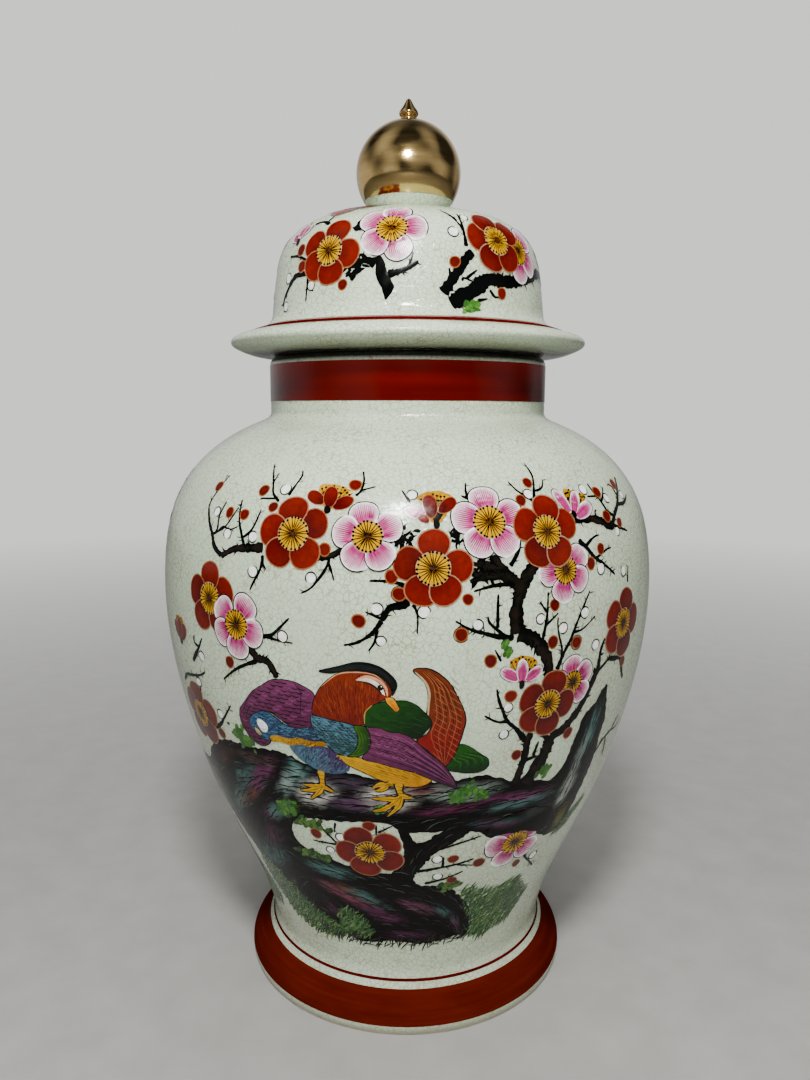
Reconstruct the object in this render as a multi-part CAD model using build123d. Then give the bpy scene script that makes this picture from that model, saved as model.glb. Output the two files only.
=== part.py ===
from build123d import *
from math import acos, asin, degrees
import os

# A lidded porcelain ginger jar on a flared foot, with a domed lid and a gilded ball knob.
# Millimetres, +Z up, origin at the centre of the foot's underside. Every piece is a body of
# revolution, so each outline is drawn flat, as radius against height, and turned about Z.

# Foot ring
foot_radius = 76.0
foot_edge_radius = 1.2
foot_band_bottom = 4.2
foot_band_top = (67.8, 15.6)
foot_line_bottom = (66.0, 18.0)
foot_line_top = (65.6, 19.1)
ring_inner_radius = 62.0
recess_top_radius = 57.0
recess_height = 11.5

# Belly: the outline's own points, from the waist over the widest part to the shoulder
belly_outline = [
    foot_line_top,
    (65.9, 27.0),
    (71.6, 46.0),
    (88.3, 84.0),
    (102.2, 124.0),
    (110.1, 162.0),
    (110.8, 199.0),
    (105.6, 222.0),
    (94.0, 239.8),
    (68.4, 256.3),
]
wall = 6.0
floor_height = 19.5
floor_radius = 42.0

# Neck and rim
neck_radius = 62.7
neck_foot_height = 260.6
neck_band_bottom = 265.5
neck_band_top = 281.3
rim_height = 285.2
rim_outer_round = 3.4
rim_inner_round = 1.8

# Lid: locating flange, brim and dome
flange_clearance = 1.3
flange_wall = 4.8
flange_bottom = 271.0
seat_radius = 63.0
brim_tip = (79.8, 291.0)
brim_line_outer = (70.8, 295.8)
brim_line_inner = (67.6, 296.9)
dome_foot = (61.1, 304.5)
dome_outline = [
    dome_foot,
    (59.4, 319.0),
    (55.7, 332.0),
    (47.0, 340.8),
    (31.0, 345.9),
]
crown_radius = 15.4
crown_height = 348.0
lid_wall = 6.2

# Knob: an almost round ball with a small pointed tip, held by a tenon in the lid's crown
ball_centre_height = 365.7
ball_radius = 23.1
ball_half_height = 22.7
gilding_start_height = 353.8
tip_root_radius = 3.7
tip_outline = [(3.1, 389.5), (4.1, 391.0), (2.9, 393.6), (1.2, 396.4)]
knob_top = 397.5
tenon_radius = 6.0
tenon_bottom = 341.8

# Fired-on layers
enamel_thickness = 0.2

right = (1, 0)
left = (-1, 0)
up = (0, 1)


def beside(edge, distance, start=0.0):
    """The curve that runs beside an outline edge, the given distance outward of it."""
    steps = 1 if edge.geom_type == GeomType.LINE else 12
    fractions = [start + (1 - start) * step / steps for step in range(steps + 1)]
    points = []
    for fraction in fractions:
        along = edge % fraction
        outward = Vector(along.Y, -along.X)
        points.append(edge @ fraction + outward * distance)
    return Line(*points) if steps == 1 else Spline(*points)


def smooth(*points, tangents):
    """The curve through some points that leaves and arrives along the given directions."""
    return Spline(*points, tangents=tangents, tangent_scalars=(1, 1))


def turned(edges):
    """The solid that a closed outline makes when it is turned about Z."""
    return revolve(Plane.XZ * make_face(edges), Axis.Z)


def enamel(*edges):
    """A thin ring of colour that lies on one run of outline edges."""
    outer = [beside(edge, enamel_thickness) for edge in edges]
    bottom = Line(edges[0] @ 0, outer[0] @ 0)
    top = Line(edges[-1] @ 1, outer[-1] @ 1)
    return turned([*edges, *outer, bottom, top])


def jar_outline():
    """The jar's outer edges by name, from the foot's painted band up to the rim."""
    foot_band = smooth(
        (foot_radius, foot_band_bottom),
        (74.9, 8.2),
        (71.9, 12.0),
        foot_band_top,
        tangents=(up, (-0.75, 0.66)),
    )
    foot_gap = smooth(foot_band @ 1, foot_line_bottom, tangents=(foot_band % 1, (-0.42, 0.9)))
    foot_line = Line(foot_line_bottom, foot_line_top)
    belly = smooth(*belly_outline, tangents=(foot_line % 1, (-0.93, 0.37)))
    neck_foot = smooth(belly @ 1, (neck_radius, neck_foot_height), tangents=(belly % 1, up))
    return {
        "foot_band": foot_band,
        "foot_gap": foot_gap,
        "foot_line": foot_line,
        "belly": belly,
        "neck_foot": neck_foot,
        "neck_low": Line(neck_foot @ 1, (neck_radius, neck_band_bottom)),
        "neck_band": Line((neck_radius, neck_band_bottom), (neck_radius, neck_band_top)),
    }


def jar_body(outer):
    """The thrown jar: foot ring with its recess, belly wall, floor, neck and rounded rim."""
    foot_side = Line((foot_radius, foot_edge_radius), (foot_radius, foot_band_bottom))
    foot_corner = RadiusArc(
        (foot_radius - foot_edge_radius, 0), foot_side @ 0, -foot_edge_radius
    )
    ring_face = Line((ring_inner_radius, 0), foot_corner @ 0)
    recess_side = smooth(
        (recess_top_radius - 6, recess_height),
        (recess_top_radius, recess_height - 3),
        (ring_inner_radius, 0),
        tangents=(right, (0.4, -1)),
    )
    recess_roof = Line((0, recess_height), recess_side @ 0)

    rim_start = rim_height - rim_outer_round
    rim_side = Line(outer["neck_band"] @ 1, (neck_radius, rim_start))
    rim_outer = RadiusArc(rim_side @ 1, (neck_radius - rim_outer_round, rim_height), -rim_outer_round)
    neck_inner_radius = neck_radius - wall
    rim_inner = RadiusArc(
        (neck_inner_radius + rim_inner_round, rim_height),
        (neck_inner_radius, rim_height - rim_inner_round),
        -rim_inner_round,
    )
    rim_crest = Line(rim_outer @ 1, rim_inner @ 0)

    inner_belly = beside(outer["belly"], -wall, start=0.09)
    floor = Line((0, floor_height), (floor_radius, floor_height))
    floor_corner = smooth(floor @ 1, inner_belly @ 0, tangents=(right, inner_belly % 0))
    inner_shoulder = smooth(
        inner_belly @ 1, (neck_inner_radius, neck_foot_height), tangents=(inner_belly % 1, up)
    )
    neck_inside = Line(inner_shoulder @ 1, rim_inner @ 1)
    middle = Line((0, recess_height), (0, floor_height))
    return turned(
        [
            middle,
            recess_roof,
            recess_side,
            ring_face,
            foot_corner,
            foot_side,
            *outer.values(),
            rim_side,
            rim_outer,
            rim_crest,
            rim_inner,
            neck_inside,
            inner_shoulder,
            inner_belly,
            floor_corner,
            floor,
        ]
    )


def lid_outline():
    """The lid's upper edges by name, from the brim's tip up to the crown."""
    brim_slope = (brim_line_inner[0] - brim_line_outer[0], brim_line_inner[1] - brim_line_outer[1])
    brim_lip = smooth(
        brim_tip, (78.6, 293.0), (75.2, 294.5), brim_line_outer, tangents=(up, brim_slope)
    )
    brim_line = Line(brim_line_outer, brim_line_inner)
    cove = smooth(
        brim_line_inner, (63.8, 298.8), (61.7, 301.5), dome_foot, tangents=(brim_slope, (-0.08, 1))
    )
    dome = smooth(
        *dome_outline, (crown_radius, crown_height), tangents=(cove % 1, left)
    )
    return {"brim_lip": brim_lip, "brim_line": brim_line, "cove": cove, "dome": dome}


def lid(outer):
    """The lid: flange that drops into the neck, seat, upswept brim and hollow dome."""
    flange_radius = neck_radius - wall - flange_clearance
    flange_inner_radius = flange_radius - flange_wall
    flange_foot = Line((flange_inner_radius, flange_bottom), (flange_radius - 1, flange_bottom))
    flange_corner = Line(flange_foot @ 1, (flange_radius, flange_bottom + 1))
    flange_side = Line(flange_corner @ 1, (flange_radius, rim_height))
    seat = Line(flange_side @ 1, (seat_radius, rim_height))
    brim_under = smooth(
        seat @ 1, (70.5, 286.0), (77.0, 288.3), brim_tip, tangents=(right, up)
    )
    crown = Line(outer["dome"] @ 1, (tenon_radius, crown_height))
    socket = Line(crown @ 1, (tenon_radius, tenon_bottom))
    dome_inside = beside(outer["dome"], -lid_wall)
    dome_inside_top = Line(socket @ 1, dome_inside @ 1)
    flange_inside = smooth(
        flange_foot @ 0, (flange_inner_radius, 288.0), dome_inside @ 0, tangents=(up, dome_inside % 0)
    )
    return turned(
        [
            flange_foot,
            flange_corner,
            flange_side,
            seat,
            brim_under,
            *outer.values(),
            crown,
            socket,
            dome_inside_top,
            dome_inside,
            flange_inside,
        ]
    )


def ball_angle(height):
    """The angle on the ball's outline, above the level of its centre, at which a height is reached."""
    return degrees(asin((height - ball_centre_height) / ball_half_height))


def ball_arc(bottom_angle, top_angle):
    """The part of the ball's outline between two angles."""
    return EllipticalCenterArc(
        (0, ball_centre_height),
        ball_radius,
        ball_half_height,
        start_angle=bottom_angle,
        arc_size=top_angle - bottom_angle,
    )


def knob_outline():
    """The knob's outer edges by name: the glazed underside, the gilded ball and its tip."""
    gilding_angle = ball_angle(gilding_start_height)
    ball_low = ball_arc(ball_angle(crown_height), gilding_angle)
    ball_high = ball_arc(gilding_angle, degrees(acos(tip_root_radius / ball_radius)))
    tip = smooth(ball_high @ 1, *tip_outline, (0, knob_top), tangents=(ball_high % 1, left))
    return {"ball_low": ball_low, "ball_high": ball_high, "tip": tip}


def knob(outer):
    """The knob: tenon, ball and pointed tip in one piece."""
    tenon_end = Line((0, tenon_bottom), (tenon_radius, tenon_bottom))
    tenon_side = Line(tenon_end @ 1, (tenon_radius, crown_height))
    base = Line(tenon_side @ 1, outer["ball_low"] @ 0)
    middle = Line(outer["tip"] @ 1, tenon_end @ 0)
    return turned([tenon_end, tenon_side, base, *outer.values(), middle])


jar_edges = jar_outline()
lid_edges = lid_outline()
knob_edges = knob_outline()

nodes = {
    "jar_body": jar_body(jar_edges),
    "foot_band": enamel(jar_edges["foot_band"]),
    "foot_line": enamel(jar_edges["foot_line"]),
    "neck_band": enamel(jar_edges["neck_band"]),
    "lid": lid(lid_edges),
    "brim_line": enamel(lid_edges["brim_line"]),
    "knob": knob(knob_edges),
    "knob_gilding": enamel(knob_edges["ball_high"], knob_edges["tip"]),
}

os.makedirs("parts", exist_ok=True)
for name, solid in nodes.items():
    export_step(solid, f"parts/{name}.step")
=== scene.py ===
import math
import random
from bisect import bisect_left

import bpy
from mathutils import Matrix, Vector, noise
from mathutils.bvhtree import BVHTree
from mathutils.geometry import delaunay_2d_cdt


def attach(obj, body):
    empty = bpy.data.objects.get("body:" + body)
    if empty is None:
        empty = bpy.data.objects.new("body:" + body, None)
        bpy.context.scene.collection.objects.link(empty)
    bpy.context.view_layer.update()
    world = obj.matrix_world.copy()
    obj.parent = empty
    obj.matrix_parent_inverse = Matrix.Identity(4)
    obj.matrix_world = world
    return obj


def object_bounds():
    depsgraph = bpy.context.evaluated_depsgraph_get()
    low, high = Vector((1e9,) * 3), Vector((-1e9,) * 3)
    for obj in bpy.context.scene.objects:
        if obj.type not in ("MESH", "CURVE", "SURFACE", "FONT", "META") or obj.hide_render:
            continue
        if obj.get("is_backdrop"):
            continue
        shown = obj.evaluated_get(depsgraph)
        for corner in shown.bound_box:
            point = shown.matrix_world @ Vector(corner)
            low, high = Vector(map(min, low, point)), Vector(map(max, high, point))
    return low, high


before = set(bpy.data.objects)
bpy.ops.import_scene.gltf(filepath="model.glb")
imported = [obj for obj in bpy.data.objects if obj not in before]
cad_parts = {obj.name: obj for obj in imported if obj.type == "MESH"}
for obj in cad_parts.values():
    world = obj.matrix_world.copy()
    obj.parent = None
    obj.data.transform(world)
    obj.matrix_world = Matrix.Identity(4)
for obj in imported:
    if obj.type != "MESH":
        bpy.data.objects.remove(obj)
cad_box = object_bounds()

# A porcelain ginger jar. The painting is raised enamel on the turned CAD surfaces: every patch and
# stroke is real geometry 0.1 to 0.5 mm thick, and its colours are kept in a colour attribute.
# Places on the jar are (azimuth in degrees, height in mm). Azimuth 0 is the front, -Y, and it
# grows to the right of a viewer who faces the front. Offsets, widths and lifts are in mm.

MM = 0.001
FULL_TURN = 6.28  # radians


def rgb(red, green, blue):
    """Linear colour from display numbers 0 to 255."""
    return tuple((c / 255) ** 2.2 for c in (red, green, blue))


def mix(first, second, share):
    share = min(max(share, 0.0), 1.0)
    return tuple(a + (b - a) * share for a, b in zip(first, second))


def shade(colour, factor):
    return tuple(min(c * factor, 1.0) for c in colour)


INK = rgb(9, 11, 10)
BARK = rgb(20, 18, 18)
WHITE = rgb(250, 249, 246)
PALE = rgb(206, 204, 190)
TAN = rgb(138, 84, 42)
RED = rgb(112, 22, 4)
DEEP_RED = rgb(64, 5, 2)
PINK = rgb(180, 66, 122)
MAGENTA = rgb(136, 22, 80)
OCHRE = rgb(190, 140, 2)
MUSTARD = rgb(150, 98, 4)
TEAL = rgb(84, 124, 120)
MAUVE = rgb(98, 50, 82)
BROWN = rgb(92, 58, 40)


# ---------------------------------------------------------------- the surfaces to paint on

class Surface:
    """The outer side of a turned CAD node, from a low to a high height in mm."""

    STEP = 0.5  # mm between the heights at which the radius is read
    RAYS = 24
    OUTSIDE = 0.3  # m from the axis, past everything
    SPAN = 2  # mm above and below a place, over which its slope is measured
    TWIST = 0.35  # degrees by which the whole painting is turned

    def __init__(self, node, low, high, usual, rides):
        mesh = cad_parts[node].data
        tree = BVHTree.FromPolygons([v.co for v in mesh.vertices], [p.vertices for p in mesh.polygons])
        self.low = low
        self.usual = usual
        self.rides = rides
        self.radii = []
        self.lengths = [0.0]
        for step in range(int((high - low) / self.STEP) + 1):
            z = (low + step * self.STEP) * MM
            hits = []
            for turn in range(self.RAYS):
                angle = math.radians(turn * 360 / self.RAYS + 1)
                out = Vector((math.cos(angle), math.sin(angle), 0))
                hit = tree.ray_cast(out * self.OUTSIDE + Vector((0, 0, z)), -out)[0]
                hits.append(math.hypot(hit.x, hit.y) / MM)
            self.radii.append(max(hits))
        for low_radius, high_radius in zip(self.radii, self.radii[1:]):
            self.lengths.append(self.lengths[-1] + math.hypot(high_radius - low_radius, self.STEP))

    def _read(self, values, z):
        place = min(max((z - self.low) / self.STEP, 0.0), len(values) - 1.001)
        index = int(place)
        return values[index] + (values[index + 1] - values[index]) * (place - index)

    def radius(self, z):
        return self._read(self.radii, z)

    def length(self, z):
        return self._read(self.lengths, z)

    def height(self, length):
        index = min(max(bisect_left(self.lengths, length), 1), len(self.lengths) - 1)
        below, above = self.lengths[index - 1], self.lengths[index]
        return self.low + self.STEP * (index - 1 + (length - below) / (above - below))

    def normal(self, z):
        """How far the surface faces outward and upward."""
        low, high = z - self.SPAN, z + self.SPAN
        rise = self.length(high) - self.length(low)
        slope = (self.radius(high) - self.radius(low)) / max(rise, 0.1)
        return math.sqrt(max(1 - slope * slope, 0.0)), -slope

    def point(self, azimuth, z, lift):
        out, up = self.normal(z)
        radius = self.radius(z) + lift * out
        angle = math.radians(azimuth + self.TWIST)
        return Vector((radius * math.sin(angle), -radius * math.cos(angle), z + lift * up)) * MM

    def flat(self, place):
        """A place as mm round and mm up the surface. Round is measured at one usual radius."""
        return math.radians(place[0]) * self.usual, self.length(place[1])

    def unflat(self, spot):
        return math.degrees(spot[0] / self.usual), self.height(spot[1])

    def near(self, centre, across, up):
        """The place some mm to the right of and above a centre."""
        z = self.height(self.length(centre[1]) + up)
        return centre[0] + math.degrees(across / self.radius(z)), z

    def step(self, first, second):
        """How many mm to the right and up the second place is from the first."""
        radius = self.radius((first[1] + second[1]) / 2)
        return (
            math.radians(second[0] - first[0]) * radius,
            self.length(second[1]) - self.length(first[1]),
        )


# The lid is read only above its brim; the body between its foot line and its neck band.
BODY = Surface("jar_body", 20.0, 262.0, 100.0, "jar")
LID = Surface("lid", 299.0, 347.0, 58.0, "lid")


# ---------------------------------------------------------------- materials

def new_material(name, roughness, metallic=0.0):
    material = bpy.data.materials.new(name)
    material.use_nodes = True
    shader = material.node_tree.nodes["Principled BSDF"]
    shader.inputs["Roughness"].default_value = roughness
    shader.inputs["Metallic"].default_value = metallic
    return material, shader


class Graph:
    """Short ways to add and link the shader nodes of a material or a world."""

    def __init__(self, owner, space="Object"):
        self.nodes = owner.node_tree.nodes
        self.links = owner.node_tree.links
        self.space = self.nodes.new("ShaderNodeTexCoord").outputs[space]

    def put(self, socket, value):
        if hasattr(value, "is_output"):
            self.links.new(value, socket)
        elif hasattr(value, "__len__") and len(value) == 3 and socket.type == "RGBA":
            socket.default_value = (*value, 1.0)
        else:
            socket.default_value = value

    def add(self, kind, out=0, settings=None, **inputs):
        """A new node's output. inputs are named, or i0, i1 and so on by number."""
        node = self.nodes.new("ShaderNode" + kind)
        for name, value in (settings or {}).items():
            setattr(node, name, value)
        for name, value in inputs.items():
            key = int(name[1:]) if name[0] == "i" and name[1:].isdigit() else name.replace("_", " ")
            self.put(node.inputs[key], value)
        return node.outputs[out]

    def noise(self, scale, detail=3.0, vector=None, rough=0.55):
        return self.add("TexNoise", Vector=vector or self.space, Scale=scale, Detail=detail, Roughness=rough)

    def stretch(self, x, y, z):
        return self.add("Mapping", Vector=self.space, Scale=(x, y, z))

    def ramp(self, value, low, high, to_low=0.0, to_high=1.0):
        return self.add("MapRange", Value=value, From_Min=low, From_Max=high, To_Min=to_low, To_Max=to_high)

    def math(self, operation, first, second=0.0):
        return self.add("Math", settings={"operation": operation}, i0=first, i1=second)

    def times(self, first, *others):
        for other in others:
            first = self.math("MULTIPLY", first, other)
        return first

    def blend(self, share, first, second, how="MIX"):
        settings = {"data_type": "RGBA", "blend_type": how}
        return self.add("Mix", 2, settings, i0=share, i6=first, i7=second)

    def place(self, axis):
        return self.add("SeparateXYZ", "XYZ".index(axis), Vector=self.space)

    def radius(self):
        squares = [self.times(side, side) for side in (self.place("X"), self.place("Y"))]
        return self.math("SQRT", self.math("ADD", *squares))

    def bump(self, height, distance, strength=1.0):
        return self.add("Bump", Height=height, Distance=distance, Strength=strength)


# Zones of the glaze, by the soft edges of their heights and radii in metres. Each edge is
# (where the zone isn't yet there, where it is fully there).
ZONES = {
    "foot": {"height": [(0.0009, 0.0004)], "radius": [(0.0612, 0.0618)]},
    "seat": {"height": [(0.28465, 0.2849), (0.2857, 0.2855)], "radius": [(0.0604, 0.06)]},
    "flange": {
        "height": [(0.2697, 0.2705), (0.2856, 0.2854)],
        "radius": [(0.0545, 0.0549), (0.0562, 0.0558)],
    },
    # The glaze darkens towards the bottom of the foot: painted shade near the floor.
    "painted_foot_shade": {"height": [(0.0045, 0.0015)], "radius": []},
    # groove and under_brim are where painted shade goes: the gap between the neck's top and the brim, and
    # the brim's underside.
    "groove": {"height": [(0.2816, 0.283), (0.2856, 0.2853)], "radius": [(0.0585, 0.0595)]},
    "under_brim": {
        "height": [(0.285, 0.2851), (0.2905, 0.2885)],
        "radius": [(0.079, 0.066), (0.06, 0.0603)],
    },
    "brim_wash": {"height": [(0.2951, 0.2953), (0.298, 0.2977)], "radius": [(0.0637, 0.0642)]},
}


def crackle(graph):
    """1 on the crackle lines: large cells all over, and small ones in parts."""
    wander = graph.add("TexNoise", 1, Vector=graph.space, Scale=170.0, Detail=2.0)
    wander = graph.add("VectorMath", settings={"operation": "SUBTRACT"}, i0=wander, i1=(0.5, 0.5, 0.5))
    wander = graph.add("VectorMath", settings={"operation": "SCALE"}, i0=wander, Scale=0.0035)
    bent = graph.add("VectorMath", settings={"operation": "ADD"}, i0=graph.space, i1=wander)
    edges = {"feature": "DISTANCE_TO_EDGE"}
    large = graph.add("TexVoronoi", settings=edges, Vector=bent, Scale=440.0)
    small = graph.add("TexVoronoi", settings=edges, Vector=bent, Scale=900.0)
    large_line = graph.ramp(large, 0.02, 0.09, 1.0, 0.0)
    small_line = graph.ramp(small, 0.03, 0.13, 0.7, 0.0)
    here = graph.ramp(graph.noise(28.0, 2.0), 0.42, 0.66)
    return graph.math("MAXIMUM", large_line, graph.times(small_line, here))


def glaze_material():
    """Warm greenish white glaze with fine tan crackle, bare clay where the kiln shelf and lid sat, and
    painted shade under the brim and towards the foot.
    """
    material, shader = new_material("crackled_glaze", 0.09)
    graph = Graph(material)
    height, radius = graph.place("Z"), graph.radius()

    def zone(name):
        edges = [(height, edge) for edge in ZONES[name]["height"]]
        edges += [(radius, edge) for edge in ZONES[name]["radius"]]
        return graph.times(*[graph.ramp(value, *edge) for value, edge in edges])

    lines = crackle(graph)
    stain = graph.ramp(graph.noise(60.0, 3.0), 0.3, 0.7, 0.34, 0.8)
    cloud = graph.ramp(graph.noise(9.0, 4.0), 0.35, 0.68)
    glaze = graph.blend(cloud, rgb(204, 221, 195), rgb(193, 211, 183))
    spots = graph.add("TexVoronoi", Vector=graph.space, Scale=95.0)
    speck = graph.times(graph.ramp(spots, 0.03, 0.07, 1.0, 0.0), 0.35)
    glaze = graph.blend(speck, glaze, rgb(150, 126, 92))
    glaze = graph.blend(graph.times(lines, stain), glaze, rgb(146, 134, 104))
    # Painted shade: the glaze turns near-black in the gap under the brim and over the brim's underside,
    # where the brim shades the neck.
    painted_shade_under_brim = graph.math("MAXIMUM", zone("groove"), zone("under_brim"))
    for cover, strength, colour in (
        # Painted shade that darkens the glaze towards the bottom of the foot.
        (zone("painted_foot_shade"), 0.8, rgb(120, 112, 92)),
        (painted_shade_under_brim, 0.96, rgb(22, 19, 13)),
        (zone("brim_wash"), 0.92, rgb(92, 18, 16)),
    ):
        glaze = graph.blend(graph.times(cover, strength), glaze, colour)

    bare = graph.math("MAXIMUM", zone("foot"), graph.math("MAXIMUM", zone("seat"), zone("flange")))
    bare = graph.times(bare, graph.ramp(graph.noise(320.0, 2.0), 0.2, 0.42, 0.75, 1.0))
    grain = graph.noise(900.0, 4.0)
    clay = graph.blend(graph.ramp(grain, 0.3, 0.7), rgb(196, 176, 146), rgb(224, 210, 186))
    graph.put(shader.inputs["Base Color"], graph.blend(bare, glaze, clay))
    smear = graph.ramp(graph.noise(35.0, 3.0), 0.3, 0.7, 0.07, 0.15)
    graph.put(shader.inputs["Roughness"], graph.math("MAXIMUM", smear, graph.times(bare, 0.75)))
    pull = graph.noise(70.0, 2.0)
    relief = graph.math("ADD", graph.times(lines, -0.6), graph.times(pull, 0.55))
    relief = graph.math("ADD", relief, graph.times(grain, bare, 1.4))
    graph.put(shader.inputs["Normal"], graph.bump(relief, 0.00009, 0.6))
    return material


def band_material(name, dark, light, heights, dull=0.07, painted_top_light=None):
    """Brushed iron red: the brush ran round the pot, so its streaks do too, thinner near the band's edges.

    heights are the band's edges, dull is its roughness, and the last argument is the colour that its top
    turns to: painted light that evens out the shade the brim casts on the band.
    """
    material, shader = new_material(name, 0.1)
    shader.inputs["Specular IOR Level"].default_value = 0.0 if dull > 0.1 else 0.2
    graph = Graph(material)
    streak = graph.noise(1.0, 5.0, graph.stretch(14.0, 14.0, 620.0), 0.7)
    pool = graph.noise(1.0, 3.0, graph.stretch(34.0, 34.0, 120.0))
    low, high = heights
    up_band = graph.ramp(graph.place("Z"), low, high)
    inward = graph.times(up_band, graph.math("SUBTRACT", 1.0, up_band))
    thin = graph.ramp(inward, 0.03, 0.2, 0.32, 0.0)
    share = graph.math("ADD", graph.ramp(streak, 0.34, 0.7), thin)
    share = graph.math("ADD", graph.times(share, 0.62), graph.ramp(pool, 0.35, 0.75, 0.0, 0.42))
    colour = graph.blend(share, dark, light)
    # Painted light: the band's top turns to a brighter red, evening out the shade that the brim casts on it.
    if painted_top_light:
        colour = graph.blend(graph.ramp(graph.place("Z"), low + 0.3 * (high - low), high), colour, painted_top_light)
    graph.put(shader.inputs["Base Color"], colour)
    graph.put(shader.inputs["Roughness"], graph.ramp(streak, 0.3, 0.7, dull, dull + 0.09))
    graph.put(shader.inputs["Normal"], graph.bump(streak, 0.00005, 0.5))
    return material


def gold_material():
    """Bright fired gold with faint wiping streaks and a few thin spots."""
    material, shader = new_material("gold_lustre", 0.07, metallic=1.0)
    graph = Graph(material)
    wipe = graph.noise(1.0, 4.0, graph.stretch(60.0, 60.0, 420.0))
    worn = graph.ramp(graph.noise(240.0, 4.0), 0.62, 0.72)
    gold = graph.blend(graph.ramp(wipe, 0.3, 0.7), rgb(202, 167, 104), rgb(224, 193, 130))
    gold = graph.blend(graph.times(worn, 0.35), gold, rgb(150, 112, 60))
    graph.put(shader.inputs["Base Color"], gold)
    graph.put(shader.inputs["Roughness"], graph.ramp(wipe, 0.3, 0.7, 0.09, 0.17))
    graph.put(shader.inputs["Normal"], graph.bump(graph.noise(160.0, 3.0), 0.00006, 0.35))
    return material


def enamel_material(name, roughness, streaks, shine=0.25):
    """Painted enamel: the colour attribute, with the unevenness of a loaded brush."""
    material, shader = new_material(name, roughness)
    shader.inputs["Specular IOR Level"].default_value = shine
    graph = Graph(material)
    colour = graph.add("VertexColor", settings={"layer_name": "paint"})
    brush = graph.noise(1.0, 5.0, graph.stretch(*streaks), 0.65)
    fleck = graph.noise(1500.0, 2.0)
    broad = graph.ramp(brush, 0.25, 0.75, 0.66, 1.28)
    tone = graph.math("ADD", broad, graph.ramp(fleck, 0.3, 0.7, -0.09, 0.09))
    grey = graph.add("CombineColor", Red=tone, Green=tone, Blue=tone)
    graph.put(shader.inputs["Base Color"], graph.blend(1.0, colour, grey, "MULTIPLY"))
    graph.put(shader.inputs["Roughness"], graph.ramp(brush, 0.3, 0.7, roughness - 0.04, roughness + 0.08))
    relief = graph.math("ADD", brush, graph.times(fleck, 0.3))
    graph.put(shader.inputs["Normal"], graph.bump(relief, 0.00006, 0.5))
    return material


GLAZE = glaze_material()
FOOT_RED = band_material("foot_band_red", rgb(70, 14, 4), rgb(98, 29, 9), (0.0042, 0.0156), 0.3)
# The neck band's top is painted a brighter red, as painted light against the brim's shade.
NECK_RED = band_material(
    "neck_band_red", rgb(70, 7, 3), rgb(84, 12, 4), (0.2655, 0.2813), painted_top_light=rgb(124, 18, 6)
)
LINE_RED = band_material("line_red", rgb(62, 8, 9), rgb(96, 19, 17), (0.0, 0.4), 0.14)
GOLD = gold_material()
ENAMEL = {
    "petals": enamel_material("petal_enamel", 0.13, (420.0, 420.0, 420.0)),
    "ink": enamel_material("ink_enamel", 0.16, (500.0, 500.0, 500.0), 0.1),
    "bark": enamel_material("bark_enamel", 0.17, (110.0, 110.0, 300.0), 0.08),
    "plumage": enamel_material("plumage_enamel", 0.14, (360.0, 360.0, 360.0)),
    "leaves": enamel_material("leaf_enamel", 0.15, (500.0, 500.0, 260.0)),
}
NODE_MATERIALS = {
    "jar_body": GLAZE,
    "lid": GLAZE,
    "knob": GLAZE,
    "foot_band": FOOT_RED,
    "foot_line": LINE_RED,
    "neck_band": NECK_RED,
    "brim_line": LINE_RED,
    "knob_gilding": GOLD,
}
for name, material in NODE_MATERIALS.items():
    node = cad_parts[name]
    node.data.materials.clear()
    node.data.materials.append(material)


# ---------------------------------------------------------------- brushes

class Paint:
    """Patches and strokes that become one piece of raised enamel."""

    def __init__(self, name, surface, kind):
        self.name = name
        self.surface = surface
        self.kind = kind
        self.points = []
        self.colours = []
        self.faces = []

    def dab(self, place, lift, colour):
        self.points.append(self.surface.point(*place, lift))
        self.colours.append(colour)
        return len(self.points) - 1

    def finish(self):
        mesh = bpy.data.meshes.new(self.name)
        mesh.from_pydata(self.points, [], self.faces)
        layer = mesh.color_attributes.new("paint", "FLOAT_COLOR", "POINT")
        layer.data.foreach_set("color", [part for colour in self.colours for part in (*colour, 1.0)])
        mesh.polygons.foreach_set("use_smooth", [True] * len(mesh.polygons))
        mesh.materials.append(ENAMEL[self.kind])
        mesh.validate()
        piece = bpy.data.objects.new(self.name, mesh)
        bpy.context.scene.collection.objects.link(piece)
        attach(piece, self.surface.rides)


def curve_through(rows, spacing, measure, closed=False):
    """A smooth run of rows of numbers through the given ones (Catmull-Rom)."""
    count = len(rows)
    if count == 2 and not closed:
        rows = [rows[0], tuple((a + b) / 2 for a, b in zip(*rows)), rows[1]]
        count = 3
    result = []
    for index in range(count if closed else count - 1):
        if closed:
            four = [rows[(index + shift) % count] for shift in (-1, 0, 1, 2)]
        else:
            four = [rows[min(max(index + shift, 0), count - 1)] for shift in (-1, 0, 1, 2)]
        steps = max(1, math.ceil(measure(four[1], four[2]) / spacing))
        for step in range(steps):
            t = step / steps
            row = []
            for a, b, c, d in zip(*four):
                row.append(
                    0.5 * (2 * b + (c - a) * t + (2 * a - 5 * b + 4 * c - d) * t * t
                           + (3 * b - a - 3 * c + d) * t ** 3)
                )
            result.append(tuple(row))
    if not closed:
        result.append(tuple(rows[-1]))
    return result


def distance(surface):
    return lambda first, second: math.hypot(*surface.step(first, second))


def turned(along, beside, turn):
    """Offsets across and up for offsets along and beside a direction."""
    return along * math.cos(turn) - beside * math.sin(turn), along * math.sin(turn) + beside * math.cos(turn)


def toward(reach, angle):
    return reach * math.cos(angle), reach * math.sin(angle)


def rows_over(outline, across, up, stagger=True):
    """Spots in even rows all over the box of a flat outline."""
    xs = [spot[0] for spot in outline]
    ys = [spot[1] for spot in outline]
    y = min(ys)
    row = 0
    while y < max(ys):
        x = min(xs) + (across / 2 if stagger and row % 2 else 0)
        while x < max(xs):
            yield x, y
            x += across
        y += up
        row += 1


BROAD = 1.8  # mm of width over which a stroke has five points across


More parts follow.
